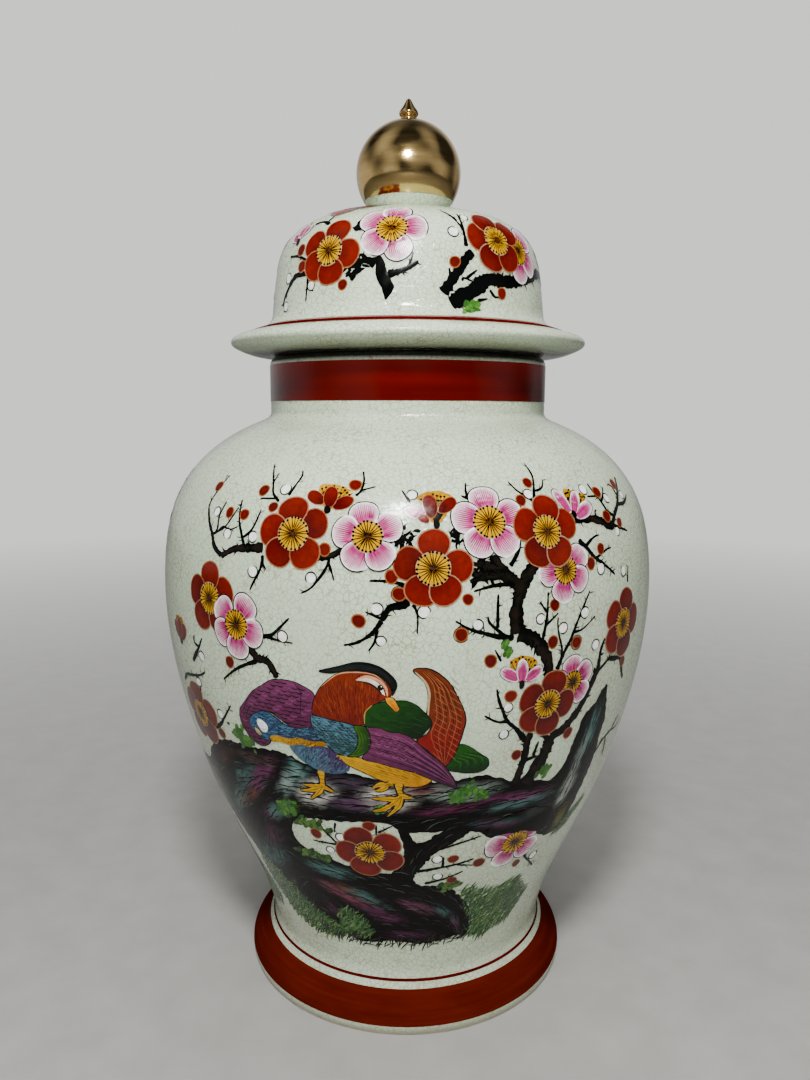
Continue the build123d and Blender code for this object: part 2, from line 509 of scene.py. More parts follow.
def stroke(paint, places, widths, lift, colour, spacing=1.2, wobble=0.0, sink=0.04):
    """A brush stroke along some places. widths is one width, or one for each place."""
    surface = paint.surface
    if not hasattr(widths, "__len__"):
        widths = [widths] * len(places)
    rows = [(place[0], place[1], width) for place, width in zip(places, widths)]
    rows = curve_through(rows, spacing, distance(surface))
    shares = (-1.0, -0.5, 0.0, 0.5, 1.0) if max(widths) > BROAD else (-1.0, 0.0, 1.0)
    last = len(rows) - 1
    previous = None
    for index, (azimuth, z, width) in enumerate(rows):
        back = rows[max(index - 1, 0)]
        ahead = rows[min(index + 1, last)]
        along = Vector(surface.step(back, ahead))
        if along.length < 1e-6:
            continue
        along.normalize()
        half = max(width, 0.08) / 2 * (1 + random.uniform(-wobble, wobble))
        if index in (0, last):
            half *= 0.55
        ring = []
        for share in shares:
            place = surface.near((azimuth, z), -along.y * half * share, along.x * half * share)
            tone = colour(azimuth, z, share) if callable(colour) else colour
            ring.append(paint.dab(place, lift - (sink if abs(share) == 1.0 else 0.0), tone))
        if previous:
            for k in range(len(shares) - 1):
                paint.faces.append((previous[k], previous[k + 1], ring[k + 1], ring[k]))
        previous = ring


def patch(paint, centre, outline, lift, rings, sink=0.02):
    """A rounded patch about a centre. outline is offsets in mm; rings is (share of the way out, colour)."""
    surface = paint.surface
    middle = paint.dab(centre, lift, rings[0][1])
    previous = [middle] * len(outline)
    count = len(outline)
    for share, colour in rings[1:]:
        drop = sink if share == 1.0 else 0.0
        ring = []
        for index, (across, up) in enumerate(outline):
            tone = colour(index / count) if callable(colour) else colour
            ring.append(paint.dab(surface.near(centre, across * share, up * share), lift - drop, tone))
        for k in range(count):
            after = (k + 1) % count
            if previous[0] == middle:
                paint.faces.append((middle, ring[k], ring[after]))
            else:
                paint.faces.append((previous[k], ring[k], ring[after], previous[after]))
        previous = ring


def round_outline(radius, count, uneven=0.04, stretch=1.0, turn=0.0):
    """Offsets of a hand-drawn round, longer along its turn angle by the stretch factor."""
    phase = random.uniform(0, FULL_TURN)
    result = []
    for k in range(count):
        angle = 2 * math.pi * k / count
        reach = radius * (1 + uneven * math.sin(2 * angle + phase) + uneven * 0.6 * math.sin(3 * angle))
        along, beside = reach * stretch * math.cos(angle), reach * math.sin(angle)
        result.append(turned(along, beside, turn))
    return result


def inside(spot, outline):
    x, y = spot
    result = False
    before = outline[-1]
    for after in outline:
        if (after[1] > y) != (before[1] > y):
            if x < (before[0] - after[0]) * (y - after[1]) / (before[1] - after[1]) + after[0]:
                result = not result
        before = after
    return result


def flat_outline(surface, places, rough=0.0, spacing=1.5):
    """A closed smooth outline in flat mm from places, with the small unevenness of a dry brush."""
    run = curve_through([surface.flat(place) for place in places], spacing, math.dist, closed=True)
    if rough:
        run = [(x + random.uniform(-rough, rough), y + random.uniform(-rough, rough)) for x, y in run]
    return run


def region(paint, outline, colour, lift, holes=(), spacing=2.0, sink=0.06):
    """A patch of any shape. outline and holes are flat outlines; colour takes a place."""
    surface = paint.surface
    spots = []
    edges = []
    for loop in (outline, *holes):
        start = len(spots)
        spots.extend(loop)
        edges.extend((start + k, start + (k + 1) % len(loop)) for k in range(len(loop)))
    border = len(spots)
    for x, y in rows_over(outline, spacing, spacing * 0.87):
        spot = (x + random.uniform(-0.2, 0.2) * spacing, y + random.uniform(-0.2, 0.2) * spacing)
        if inside(spot, outline) and not any(inside(spot, hole) for hole in holes):
            spots.append(spot)
    verts, _, faces, originals, _, _ = delaunay_2d_cdt([Vector(s) for s in spots], edges, [], 0, 1e-5)
    base = len(paint.points)
    for vert, original in zip(verts, originals):
        place = surface.unflat(vert)
        on_border = not original or min(original) < border
        paint.dab(place, lift - (sink if on_border else 0.0), colour(*place))
    for face in faces:
        middle = sum((verts[k] for k in face), Vector((0, 0))) / 3
        if inside(middle, outline) and not any(inside(middle, hole) for hole in holes):
            paint.faces.append(tuple(base + k for k in face))


def hatch(
    paint, outline, lift, colours, angle, length, width, spacing,
    holes=(), bend=0.0, spread=8.0, loose=False,
):
    """Short strokes all over a flat outline. angle is in degrees, or a function of the place.

    Loose strokes may reach over the outline, as long as their middles are inside it.
    """
    surface = paint.surface
    for x, y in rows_over(outline, spacing, spacing * 0.8, stagger=False):
        x, y = x + random.uniform(-0.45, 0.45) * spacing, y + random.uniform(-0.45, 0.45) * spacing
        turn = angle(*surface.unflat((x, y))) if callable(angle) else angle
        turn = math.radians(turn + random.uniform(-spread, spread))
        reach = length * random.uniform(0.6, 1.2)
        line = []
        for share in (-0.5, 0.0, 0.5):
            across, up = turned(reach * share, bend * reach * (0.25 - share * share), turn)
            line.append((x + across, y + up))
        if not all(inside(end, outline) for end in (line[1:2] if loose else line)):
            continue
        if any(inside(end, hole) for hole in holes for end in line):
            continue
        places = [surface.unflat(end) for end in line]
        stroke(paint, places, [width * 0.4, width, width * 0.25], lift, random.choice(colours), 1.5)


def scales(paint, outline, lift, colours, angle, size, width):
    """Rows of small curved feather edges all over a flat outline."""
    surface = paint.surface
    turn = math.radians(angle)
    for x, y in rows_over(outline, size, size * 0.62):
        line = []
        for step in range(5):
            bow = math.radians(200 + step * 35) + turn
            line.append((x + size * 0.52 * math.cos(bow), y + size * 0.6 * math.sin(bow)))
        if all(inside(end, outline) for end in line):
            places = [surface.unflat(end) for end in line]
            widths = [width * 0.5, width, width * 1.2, width, width * 0.5]
            stroke(paint, places, widths, lift, random.choice(colours), 1.0)


def edge_line(paint, outline, lift, colour, width):
    """A line of ink round a flat outline."""
    places = [paint.surface.unflat(spot) for spot in [*outline, outline[0]]]
    stroke(paint, places, width, lift, colour, 2.0, wobble=0.3)


# ---------------------------------------------------------------- blossoms, buds and twigs

# An open blossom's petals and middle, in mm
PETAL_LONG = 11.8
PETAL_WIDE = 12.6
PETAL_REACH = 8.4
PETAL_POINTS = 22
STAMENS = 24
RINGED_RADIUS = 2.4
# How far the layers stand off the glaze, in mm. Blossoms that lie over others are OVER.
UNDER = 0.2
OVER = 0.37
BUD_LIFT = 0.19
TWIG_LIFT = 0.16
TANGLE_LIFT = 0.17
THORNS = 0.62  # how many of a twig's places for thorns have one


def petal_outline(turn, long, wide):
    """Offsets of one petal from its own middle, broader at its outer end."""
    result = []
    phase = random.uniform(0, FULL_TURN)
    for k in range(PETAL_POINTS):
        angle = 2 * math.pi * k / PETAL_POINTS
        along = long / 2 * math.cos(angle) * (1 + 0.025 * math.sin(3 * angle + phase))
        beside = wide / 2 * math.sin(angle) * (1 + 0.12 * math.cos(angle))
        result.append(turned(along, beside, turn))
    return result


def red_petal(paint, middle, turn, long, wide, lift):
    fire = random.uniform(0.0, 0.5)
    near, far = mix(RED, DEEP_RED, fire), mix(RED, DEEP_RED, fire + 0.45)

    def body(share):
        return mix(near, far, 0.5 - 0.5 * math.cos(2 * math.pi * share))

    rim = mix(TAN, PALE, random.uniform(0.0, 0.18))
    rings = [(0.0, mix(near, far, 0.4)), (0.38, body), (0.7, body), (0.91, body), (0.93, rim), (1.0, rim)]
    patch(paint, middle, petal_outline(turn, long, wide), lift, rings)


def pink_petal(paint, middle, turn, long, wide, lift):
    surface = paint.surface
    gap = random.random()

    def blush(strength):
        return lambda share: mix(WHITE, PINK, strength * (0.8 - 0.2 * math.cos(2 * math.pi * share)))

    def ink(share):
        open_here = abs((share - gap + 0.5) % 1.0 - 0.5) < 0.09
        return WHITE if open_here else INK

    rings = [(0.0, blush(0.85)(0.25)), (0.4, blush(1.0)), (0.7, blush(0.95)), (0.85, blush(0.6)),
             (0.89, blush(0.1)), (0.91, WHITE), (0.925, ink), (1.0, ink)]
    patch(paint, middle, petal_outline(turn, long, wide), lift, rings)
    for k in range(11):
        side = (k - 5) / 5.5
        far = 0.4 * (1 - 0.8 * side * side) + random.uniform(-0.06, 0.06)
        line = []
        for along, spread in ((-0.42, 0.45), (-0.1, 0.8), (far, 0.95)):
            line.append(surface.near(middle, *turned(along * long, side * spread * wide * 0.36, turn)))
        tone = mix(MAGENTA, PINK, random.random())
        stroke(paint, line, [0.85, 0.62, 0.14], lift + 0.012, tone, 2.0, sink=0.008)


def disc(paint, centre, radius, lift):
    """The ochre middle of a blossom with its ring of stamens."""
    surface = paint.surface
    dark = rgb(72, 40, 14)
    rim = mix(TAN, PALE, 0.3)
    rings = [(0.0, dark), (0.15, dark), (0.3, MUSTARD), (0.6, OCHRE), (0.945, OCHRE)]
    rings += [(0.955, rim), (1.0, rim)]
    patch(paint, centre, round_outline(radius, 26, 0.012), lift, rings)
    for k in range(STAMENS):
        angle = 2 * math.pi * (k + random.uniform(-0.25, 0.25)) / STAMENS
        first, last = radius * random.uniform(0.05, 0.24), radius * random.uniform(0.86, 0.97)
        ends = [surface.near(centre, *toward(reach, angle)) for reach in (first, last)]
        stroke(paint, ends, [0.5, 0.36], lift + 0.022, INK, 4.0, sink=0.01)
        patch(paint, ends[1], round_outline(0.5, 7), lift + 0.028, [(0.0, INK), (1.0, INK)], sink=0.01)


def blossom(name, surface, centre, angles, kind, lift, size=1.0, middle_radius=6.2):
    """An open plum blossom. angles are its petals' directions, counter-clockwise from the right."""
    paint = Paint(name, surface, "petals")
    one_petal = red_petal if kind == "red" else pink_petal
    for order, angle in enumerate(angles):
        turn = math.radians(angle)
        long = PETAL_LONG * size * random.uniform(0.96, 1.04)
        wide = PETAL_WIDE * size * random.uniform(0.95, 1.04)
        middle = surface.near(centre, *toward(PETAL_REACH * size, turn))
        one_petal(paint, middle, turn, long, wide, lift + 0.02 * order)
    disc(paint, centre, middle_radius * size, lift + 0.125)
    paint.finish()


def half_blossom(name, surface, petals, calyx, fan, kind):
    """A blossom seen from the side. petals are (middle, angle, long, wide); fan is the stamens' places."""
    lift = UNDER
    paint = Paint(name, surface, "petals")
    painted_top_light = flat_outline(surface, [calyx, *fan], 0.25, 1.0)

    def ochre(azimuth, z):
        return mix(OCHRE, MUSTARD, random.random())

    region(paint, painted_top_light, ochre, lift, spacing=1.5, sink=0.02)
    for first, last in zip(fan, fan[1:]):
        for k in range(6):
            top = tuple(a + (b - a) * k / 6 for a, b in zip(first, last))
            reach = random.uniform(0.85, 1.0) if k % 2 else random.uniform(0.6, 0.75)
            tip = tuple(a + (b - a) * reach for a, b in zip(calyx, top))
            stroke(paint, [calyx, tip], [0.4, 0.26], lift + 0.02, INK, 4.0, sink=0.01)
            patch(paint, tip, round_outline(0.5, 7), lift + 0.03, [(0.0, INK), (1.0, INK)], sink=0.01)
    for order, (middle, angle, long, wide) in enumerate(petals):
        one_petal = pink_petal if kind == "pink" or (kind == "mixed" and order == 0) else red_petal
        one_petal(paint, middle, math.radians(angle), long * 1.4, wide * 1.4, lift + 0.045 + 0.02 * order)
    patch(paint, calyx, round_outline(1.3, 10, 0.1, 1.3, 1.57), lift + 0.14, [(0.0, INK), (1.0, INK)])
    paint.finish()


def white_bud(paint, place, radius):
    """A white bud with an open ring of ink."""
    surface = paint.surface
    rings = [(0.0, WHITE), (0.6, WHITE), (0.85, WHITE), (1.0, mix(WHITE, PALE, 0.6))]
    patch(paint, place, round_outline(radius, 12, 0.05), BUD_LIFT, rings)
    start = random.uniform(0, FULL_TURN)
    ring = []
    for k in range(11):
        angle = start + 5.2 * k / 10
        ring.append(surface.near(place, *toward(radius + 0.3, angle)))
    stroke(paint, ring, [0.15] + [0.45] * 9 + [0.15], BUD_LIFT + 0.01, INK, 1.0)


def red_bud(paint, place, radius):
    tone = mix(RED, DEEP_RED, random.uniform(0.2, 0.7))
    outline = round_outline(radius + 0.25, 14, 0.05)
    rings = [(0.0, tone), (0.45, mix(tone, DEEP_RED, 0.2)), (0.8, tone), (0.84, TAN), (1.0, TAN)]
    patch(paint, place, outline, BUD_LIFT, rings)


def ringed_bud(paint, place):
    """A red bud inside a ring of ink that isn't quite closed."""
    red_bud(paint, place, RINGED_RADIUS)
    turns = [math.radians(angle) for angle in range(0, 331, 30)]
    ring = [paint.surface.near(place, *toward(RINGED_RADIUS + 0.4, turn)) for turn in turns]
    stroke(paint, ring, 0.32, BUD_LIFT + 0.012, INK, 1.0)


def bark_tone(azimuth, z, share):
    grain = noise.noise(Vector((azimuth * 0.35, z * 0.25, share * 0.9)))
    bark = mix(rgb(46, 48, 40), rgb(44, 31, 26), 0.5 + grain)
    return mix(INK, bark, 0.36 + 0.6 * grain - 0.3 * abs(share))


def twig(paint, first, last, places):
    """A tapering, knotty stroke with short thorns, first and last being its widths."""
    surface = paint.surface
    count = len(places)
    widths = []
    for k in range(count):
        width = first + (last - first) * k / max(count - 1, 1)
        widths.append((1.1 * width + 0.25) * random.uniform(0.88, 1.16))
    colour = bark_tone if first > 1.8 and surface is BODY else INK
    stroke(paint, places, widths, TWIG_LIFT, colour, 0.9, wobble=0.2)
    for before, after in zip(places, places[1:]):
        across, up = surface.step(before, after)
        length = math.hypot(across, up)
        turn = math.atan2(up, across)
        for _ in range(int(length / 2.2 + 0.5)):
            if random.random() > THORNS:
                continue
            share = random.uniform(0.15, 0.9)
            foot = surface.near(before, across * share, up * share)
            side = turn + random.choice((-1, 1)) * random.uniform(0.7, 1.3)
            reach = first / 2 + random.uniform(0.8, 2.5)
            tip = surface.near(foot, *toward(reach, side))
            stroke(paint, [foot, tip], [max(0.5, first * 0.45), 0.14], TWIG_LIFT, INK, 2.0)


def thicket(paint, centre, wide, high, count):
    """A dark tangle of thorns, as where several branches meet."""
    surface = paint.surface
    for _ in range(count):
        start = surface.near(centre, random.gauss(0, wide / 4), random.gauss(0, high / 4))
        turn = random.uniform(0, FULL_TURN)
        bend = turn + random.uniform(-0.9, 0.9)
        middle = surface.near(start, *toward(random.uniform(1.2, 2.6), turn))
        end = surface.near(middle, *toward(random.uniform(0.8, 2.2), bend))
        stroke(paint, [start, middle, end], [1.5, 1.0, 0.16], TANGLE_LIFT, INK, 1.2, wobble=0.25)


# The open blossoms on the front: centre, petal angles from the undermost to the top one, colour, lift
FRONT_BLOSSOMS = {
    "a": ((-22.9, 217.9), (27, 101, 175, 235, 309), "red", UNDER),
    "b": ((-43.1, 190.4), (20, 92, 166, 236, 310), "red", UNDER),
    "c": ((-35.1, 182.6), (58, 144, 208, 271, 344), "pink", OVER),
    "d": ((-7.9, 217.9), (26, 103, 170, 241, 305), "pink", OVER),
    "e": ((15.6, 222.6), (18, 96, 168, 239, 306), "pink", UNDER),
    "f": ((4.3, 207.2), (5, 88, 168, 241, 299), "red", UNDER),
    "g": ((27.8, 218.3), (15, 79, 160, 236, 300), "red", OVER),
    "h": ((31.3, 204), (33, 110, 182, 258, 330), "pink", UNDER),
    "i": ((49.7, 178.7), (2, 76, 150, 218, 285), "red", UNDER),
    "j": ((34.2, 160.5), (100, 28, 172, 316, 244), "pink", UNDER),
    "k": ((28.3, 153.7), (351, 76, 156, 221, 279), "red", OVER),
    "m": ((-53.7, 138), (15, 92, 160, 232, 305), "red", UNDER),
    "n": ((-9.3, 91.1), (36, 119, 187, 254, 330), "red", UNDER),
    "o": ((28.3, 90.2), (40, 112, 180, 250, 322), "pink", UNDER),
}
# The front blossoms that are smaller than the others, with their sizes
SMALLER = {"c": 0.95, "d": 0.93, "h": 0.87, "j": 0.8, "k": 0.95}
LID_BLOSSOMS = {
    "p": ((-33, 324.3), (349, 74, 157, 220, 280), "red", UNDER),
    "q": ((-7, 331.8), (150, 80, 5, 288, 222), "pink", UNDER),
    "r": ((37.7, 329.1), (175, 243, 310, 30, 110), "red", OVER),
    "s": ((50.4, 326.8), (200, 268, 330, 40, 120), "pink", UNDER),
    "t": ((-37, 345), (270, 342, 54, 126, 198), "red", OVER),
}
# Blossoms seen from the side: petals as (middle, angle, long, wide), calyx, stamen places, colour
FRONT_HALVES = {
    "red": (
        [((-19.3, 230.4), 150, 6, 3.6), ((-13.4, 228.9), 25, 6, 3.6), ((-16.2, 230.8), 92, 6.4, 4)],
        (-16.4, 226.5), [(-19.2, 234.2), (-16.4, 235.2), (-13.4, 234.2), (-11.8, 231.6)], "red",
    ),
    "mixed": (
        [((0.9, 226.2), 165, 6.2, 3.4), ((7.4, 228.4), 40, 6, 3.4), ((4, 228.2), 98, 6.6, 3.8),
         ((2.7, 224), 150, 3.2, 2)],
        (5.1, 222.2), [(1.6, 230.6), (4.2, 233.2), (6.9, 232.9), (8.8, 230.4)], "mixed",
    ),
    "pink_low": (
        [((19.1, 167.6), 148, 6.6, 3.6), ((24.3, 166.8), 32, 6.4, 3.6), ((21.7, 168.4), 92, 6.8, 3.8)],
        (21.8, 163.2), [(18.9, 171.8), (21.2, 174.4), (23.4, 173.4), (25, 170.6)], "pink",
    ),
    "pink_high": (
        [((33.6, 228.4), 118, 8.6, 3.8), ((39.2, 224.4), 24, 8.8, 4.2), ((37.1, 227.6), 62, 8, 3.6)],
        (35.8, 223.4), [(35, 231.6), (36.6, 232.4), (38.2, 231), (40.2, 230.4), (41.2, 228.8)], "pink",
    ),
    "edge": (
        [((-58.8, 172.4), 128, 6.2, 3.8), ((-55.2, 172.2), 52, 6.2, 3.8), ((-57, 173.4), 90, 6.4, 4)],
        (-57, 168), [(-59.2, 177.2), (-57, 178.4), (-54.9, 177)], "red",
    ),
}
LID_HALVES = {
    "edge": (
        [((-57, 332.6), 160, 6.4, 4), ((-52, 334.4), 40, 6.4, 3.8), ((-54.6, 335.6), 96, 6.6, 4)],
        (-54, 330.4), [(-57.4, 337.4), (-54.4, 338.8), (-51.4, 338)], "pink",
    ),
}
FRONT_WHITE_BUDS = [
    (-27, 232.9), (-32.1, 215.6), (-44.3, 222.9), (-39.2, 215.6), (-18.4, 202.9), (-31.2, 203.3),
    (-24.2, 180.8), (0.5, 232), (-5.9, 193.1), (-5.1, 181.7), (2.6, 192.2), (12.5, 187), (25.5, 231.5),
    (25.2, 187.3), (41.3, 202.5), (49.1, 215.1), (49.7, 199.6), (36.2, 187.1), (30.5, 182.7),
    (39.9, 173.4), (-47.5, 165.4), (-50.9, 152.9), (-44.1, 142.4), (19.4, 154.6), (19.1, 143.7),
    (-16.2, 97.2), (-19.7, 89.5), (7.4, 87.5), (8, 77.7), (38, 77.5), (49, 227.8), (57.6, 228),
    (41.6, 231.8),
]
FRONT_RED_BUDS = [
    (-32.5, 232), (-28.7, 226.5), (-11.4, 235.1), (-16, 213.1), (-40.1, 223.3), (-35.6, 223.1),
    (-47.6, 232), (-9.2, 188.7), (-3.3, 204.5), (10.6, 196.3), (26.3, 235.4), (23.3, 229.5),
    (28.4, 191.8), (41.8, 209.9), (38.3, 205.1), (28.2, 178), (51.6, 161.9), (-37.8, 167),
    (-45.5, 133.1), (19.7, 159.1), (15.1, 173.5), (22.7, 133.9), (35.6, 138.5), (-9, 104.5),
    (-22.7, 97), (11.5, 87), (12.1, 75), (18.9, 82.9), (31.9, 76.5), (46.2, 230.4), (46.4, 221.3),
    (51, 218.2), (56, 232.4),
]
FRONT_RINGED_BUDS = [(-1.9, 198.5), (9.4, 183.8), (34.2, 176.2)]
LID_WHITE_BUDS = [(-40.7, 311.2), (-56.6, 315.8), (-56.9, 304.3), (17.7, 330.8), (24.8, 337.5)]
LID_RED_BUDS = [(-49.4, 326.4), (-47.3, 319.5), (-25.7, 310.4), (17.3, 318.9), (37.7, 308.1)]

# Branches and twigs: first width, last width, places from root to tip
UPPER_LEFT_TWIGS = [
    (3.4, 1.8, [(-29.2, 212.2), (-33.5, 211.3), (-36.7, 210.4), (-40.1, 207.2)]),
    (1.8, 0.7, [(-40.1, 207.2), (-42.7, 210.4), (-44, 214.5), (-45.9, 218.5), (-48, 224)]),
    (0.8, 0.3, [(-48, 224), (-48, 227), (-46, 236.5)]),
    (0.9, 0.4, [(-44, 214.5), (-42.5, 215.8), (-40.1, 218.5), (-37.9, 225.4)]),
    (0.9, 0.4, [(-43.4, 214.7), (-42.7, 216.7), (-43.1, 221.7), (-42.3, 227)]),
    (0.7, 0.3, [(-42.2, 216.2), (-40.9, 217.9), (-38.8, 217.2), (-36.7, 218.5)]),
    (1.3, 0.5, [(-33.5, 211.3), (-34, 212.2), (-35.1, 215.8), (-36.7, 221.3), (-37.6, 228.1)]),
    (0.8, 0.3, [(-34.7, 214.9), (-32.9, 217.6), (-32, 221.3), (-31.5, 225.4)]),
    (1, 0.3, [(-27.7, 228.5), (-29.8, 231.3), (-30.9, 234.9), (-33.3, 241.3)]),
    (0.6, 0.2, [(-30.9, 234.9), (-30.5, 238.3)]),
    (0.7, 0.3, [(-28.8, 229.5), (-32.7, 229.2)]),
    (0.9, 0.3, [(-25.8, 230.8), (-24.8, 234.9), (-24.2, 237.6), (-24.6, 239.5)]),
    (1.2, 0.4, [(-29.2, 209.5), (-29.1, 206.7), (-29.8, 203), (-31, 199), (-31.7, 196.3)]),
    (0.8, 0.3, [(-29.1, 206.7), (-28.1, 204.5)]),
    (2.6, 1.6, [(-18.5, 210.4), (-16.4, 210.4), (-14.3, 211.3), (-12.5, 213.5)]),
    (1.2, 0.3, [(-15.1, 210.2), (-15.1, 208.5), (-16.2, 204.5), (-18.3, 199.5), (-20.4, 197.2)]),
    (0.8, 0.3, [(-15.1, 208.5), (-14.4, 205.4), (-13.9, 202.4)]),
    (0.9, 0.3, [(-11, 231.5), (-10, 233.3), (-9.7, 236.7), (-10.2, 239.7)]),
    (0.6, 0.2, [(-10, 233.3), (-7, 234.7)]),
    (1.4, 0.5, [(-28.7, 179.7), (-27, 180.6), (-25.6, 182.4), (-22.7, 187.9)]),
    (0.9, 0.3, [(-27.8, 180), (-24.8, 179), (-22, 178.8)]),
    (3.2, 1.8, [(-32.1, 174.9), (-30.3, 171.3), (-27.9, 170.4), (-26.8, 167.6), (-26, 164.5)]),
    (1.4, 0.5, [(-30.3, 169.9), (-33.7, 167.2), (-36.8, 164), (-40.4, 159)]),
    (1.6, 0.6, [(-51.8, 161.7), (-49.7, 165.8), (-48.2, 169), (-46.6, 173.3)]),
    (0.8, 0.3, [(-48.2, 169), (-50.1, 170.4), (-49.7, 173.5)]),
    (1.4, 0.5, [(-60, 149.5), (-57.4, 153.1), (-53.9, 154.5), (-50, 156.3), (-47.1, 158.8)]),
    (1.4, 0.5, [(-47.6, 134.5), (-45, 137.6), (-43.2, 140.8), (-39.7, 148.1)]),
    (1.2, 0.4, [(-52.5, 146), (-50.8, 150), (-51.4, 155.2)]),
]
MIDDLE_TWIGS = [
    (0.5, 1.6, [(-12, 179.7), (-9.4, 181), (-6.7, 184.5), (-5, 189)]),
    (1.6, 2.6, [(-5, 189), (-3.6, 193.5), (-1.5, 194.5), (0, 195.8)]),
    (1, 0.3, [(-5.8, 185.8), (-6.3, 181.3), (-7.4, 178)]),
    (0.8, 0.3, [(-5, 189.7), (-8, 192)]),
    (1, 0.3, [(0.6, 194.9), (1.4, 191.3), (1.4, 184.5)]),
    (0.5, 1.5, [(-7.3, 202.9), (-4.4, 202.9), (-2, 202.2), (-0.7, 201)]),
    (0.8, 0.3, [(0, 229.5), (-0.7, 231.3), (-1.6, 233.5)]),
    (0.9, 0.3, [(11.8, 230.4), (11.6, 233.5), (11.9, 236)]),
    (0.7, 0.3, [(11.8, 230.4), (10.4, 231.7)]),
    (1.1, 0.3, [(26.2, 229), (24.8, 230.8), (23, 233), (21.6, 236)]),
    (1, 0.3, [(26.6, 230), (27.6, 234), (28.4, 238), (28, 242.2)]),
    (0.7, 0.2, [(27.6, 232.4), (29.6, 233.6), (30.8, 236.4)]),
]
RIGHT_TWIGS = [
    (4.6, 2.6, [(21, 199.8), (17.5, 204.5), (14.5, 207.5), (12.4, 209.2)]),
    (2.8, 1.2, [(17, 204.2), (13.5, 203.6), (11, 202.4)]),
    (2.2, 1, [(14.8, 207), (12.8, 204.9), (11.6, 205.8)]),
    (4.2, 5, [(24.8, 208.1), (23.3, 205.4), (21.9, 201.7), (20.6, 196.3), (20, 189.5), (20.5, 182.8)]),
    (5, 4.2, [(20.5, 182.8), (23.4, 180.5), (25.8, 176), (27.4, 170.5), (27.9, 165)]),
    (4.2, 2.8, [(20.9, 198.6), (20.1, 200.4), (18.3, 204.5), (16.4, 208.5), (15.9, 211.3)]),
    (2.6, 0.5, [(17.6, 206), (15, 207.2), (12, 208.5), (9.6, 210.4)]),
    (2.2, 0.4, [(18.4, 204.2), (14.6, 204.8), (11.4, 204.3)]),
    (1.8, 0.4, [(19.6, 201), (15.4, 200.6), (11.7, 199)]),
    (1.7, 0.8, [(19, 207.2), (20.4, 210.8), (21.3, 214.5), (21.8, 218)]),
    (1.7, 0.5, [(19.6, 181.4), (16.6, 182.2), (12.7, 184.5), (10.6, 186), (8.3, 188.8)]),
    (1.2, 0.4, [(18.1, 182), (16.4, 184.5), (14.7, 187.6), (14.4, 189.9)]),
    (1.1, 0.4, [(16.3, 185.4), (16.3, 191.7), (16.4, 197.6)]),
    (1.6, 0.5, [(25.2, 176.8), (25.7, 179), (26.3, 184.2), (26.7, 189.2), (26.9, 196.9)]),
    (0.8, 0.3, [(26.7, 189.2), (25, 193.7)]),
    (0.8, 0.3, [(26.3, 184.4), (29.3, 188.7)]),
    (1.5, 0.4, [(29.7, 166.9), (31, 172.8), (32.6, 177.8), (34.2, 184.2), (35.8, 189.6), (37.6, 195)]),
    (0.8, 0.3, [(33.4, 180.4), (35.8, 181), (39.2, 184.9)]),
    (1, 0.3, [(30.5, 171.6), (30.5, 175), (29.7, 179.6), (29.2, 184.2), (29.3, 186.9)]),
    (1.8, 0.6, [(35.5, 214.2), (37.1, 211.9), (39.5, 207.4), (41.8, 204.6), (43.7, 202.4), (46.1, 199.2)]),
    (1, 0.3, [(37.5, 211.9), (40, 214.4), (42.1, 215.1)]),
    (1, 0.4, [(40, 206.7), (43.7, 209.2), (45.5, 209.6)]),
    (2.4, 2.6, [(35.6, 221.2), (40, 221.4), (44, 219.8), (46.6, 217.6), (48.2, 218.6)]),
    (2, 0.8, [(48.2, 218.6), (50.2, 221.8), (53, 225), (56.2, 229.6), (60, 234.6)]),
    (1.5, 0.5, [(53, 225), (56, 224.8), (58.6, 225.8), (61, 227.6)]),
    (1.2, 0.5, [(49.4, 221), (47.4, 223), (46.4, 226.2), (45.2, 228.8), (42, 229.2)]),
    (0.9, 0.3, [(46.2, 226.4), (48.2, 229.4), (49.8, 232)]),
    (0.8, 0.3, [(45.2, 228.8), (44.2, 233.8)]),
    (1.3, 0.4, [(47.8, 218), (50.4, 216.4), (54, 214.4)]),
    (0.9, 0.3, [(42.6, 220.6), (42.6, 223.4), (43.4, 224.2)]),
    (1, 0.3, [(54.6, 228), (54.4, 231.4), (52.6, 232.8)]),
    (0.8, 0.3, [(51.4, 194.6), (51.6, 197.8), (52, 201)]),
    (5.4, 4, [(26.4, 119.6), (29.1, 128), (30.4, 134.8), (30.4, 139.4)]),
    (3.6, 2.4, [(30.4, 139.4), (33.3, 140.3), (36.4, 145.3), (38.5, 150.7), (40.4, 158), (41.7, 163)]),
    (1.8, 0.7, [(41.7, 163), (41.9, 170.3), (43, 175)]),
    (1.2, 0.4, [(41.8, 162), (45, 165.5), (45.5, 167.4)]),
    (1.4, 1, [(45, 165.8), (48.4, 164.6), (50, 164), (51.6, 159.6), (53.7, 153.7)]),
    (3.2, 2.2, [(23.8, 121), (24.8, 132.5), (24.8, 138.5), (25.4, 142.5)]),
    (1.8, 0.6, [(24.3, 139.4), (21.7, 145.3), (19.6, 148.9), (18.3, 153.5), (17.2, 158.5), (16.7, 162.5)]),
    (0.9, 0.3, [(19.7, 148.7), (17.2, 149.4), (14.6, 152.3)]),
    (1.4, 0.8, [(25.1, 130.7), (28, 131.6)]),
    (1.2, 0.6, [(27, 132), (27.7, 138)]),
    (0.9, 0.4, [(17.2, 173), (15.9, 177.5)]),
    (1.3, 0.4, [(48.6, 121), (52, 127), (55.6, 129), (58.4, 134.5)]),
    (1, 0.3, [(53, 127.6), (54.6, 122), (55.6, 117)]),
    (0.8, 0.3, [(55.6, 129), (59.4, 128.4), (61.6, 131)]),
]
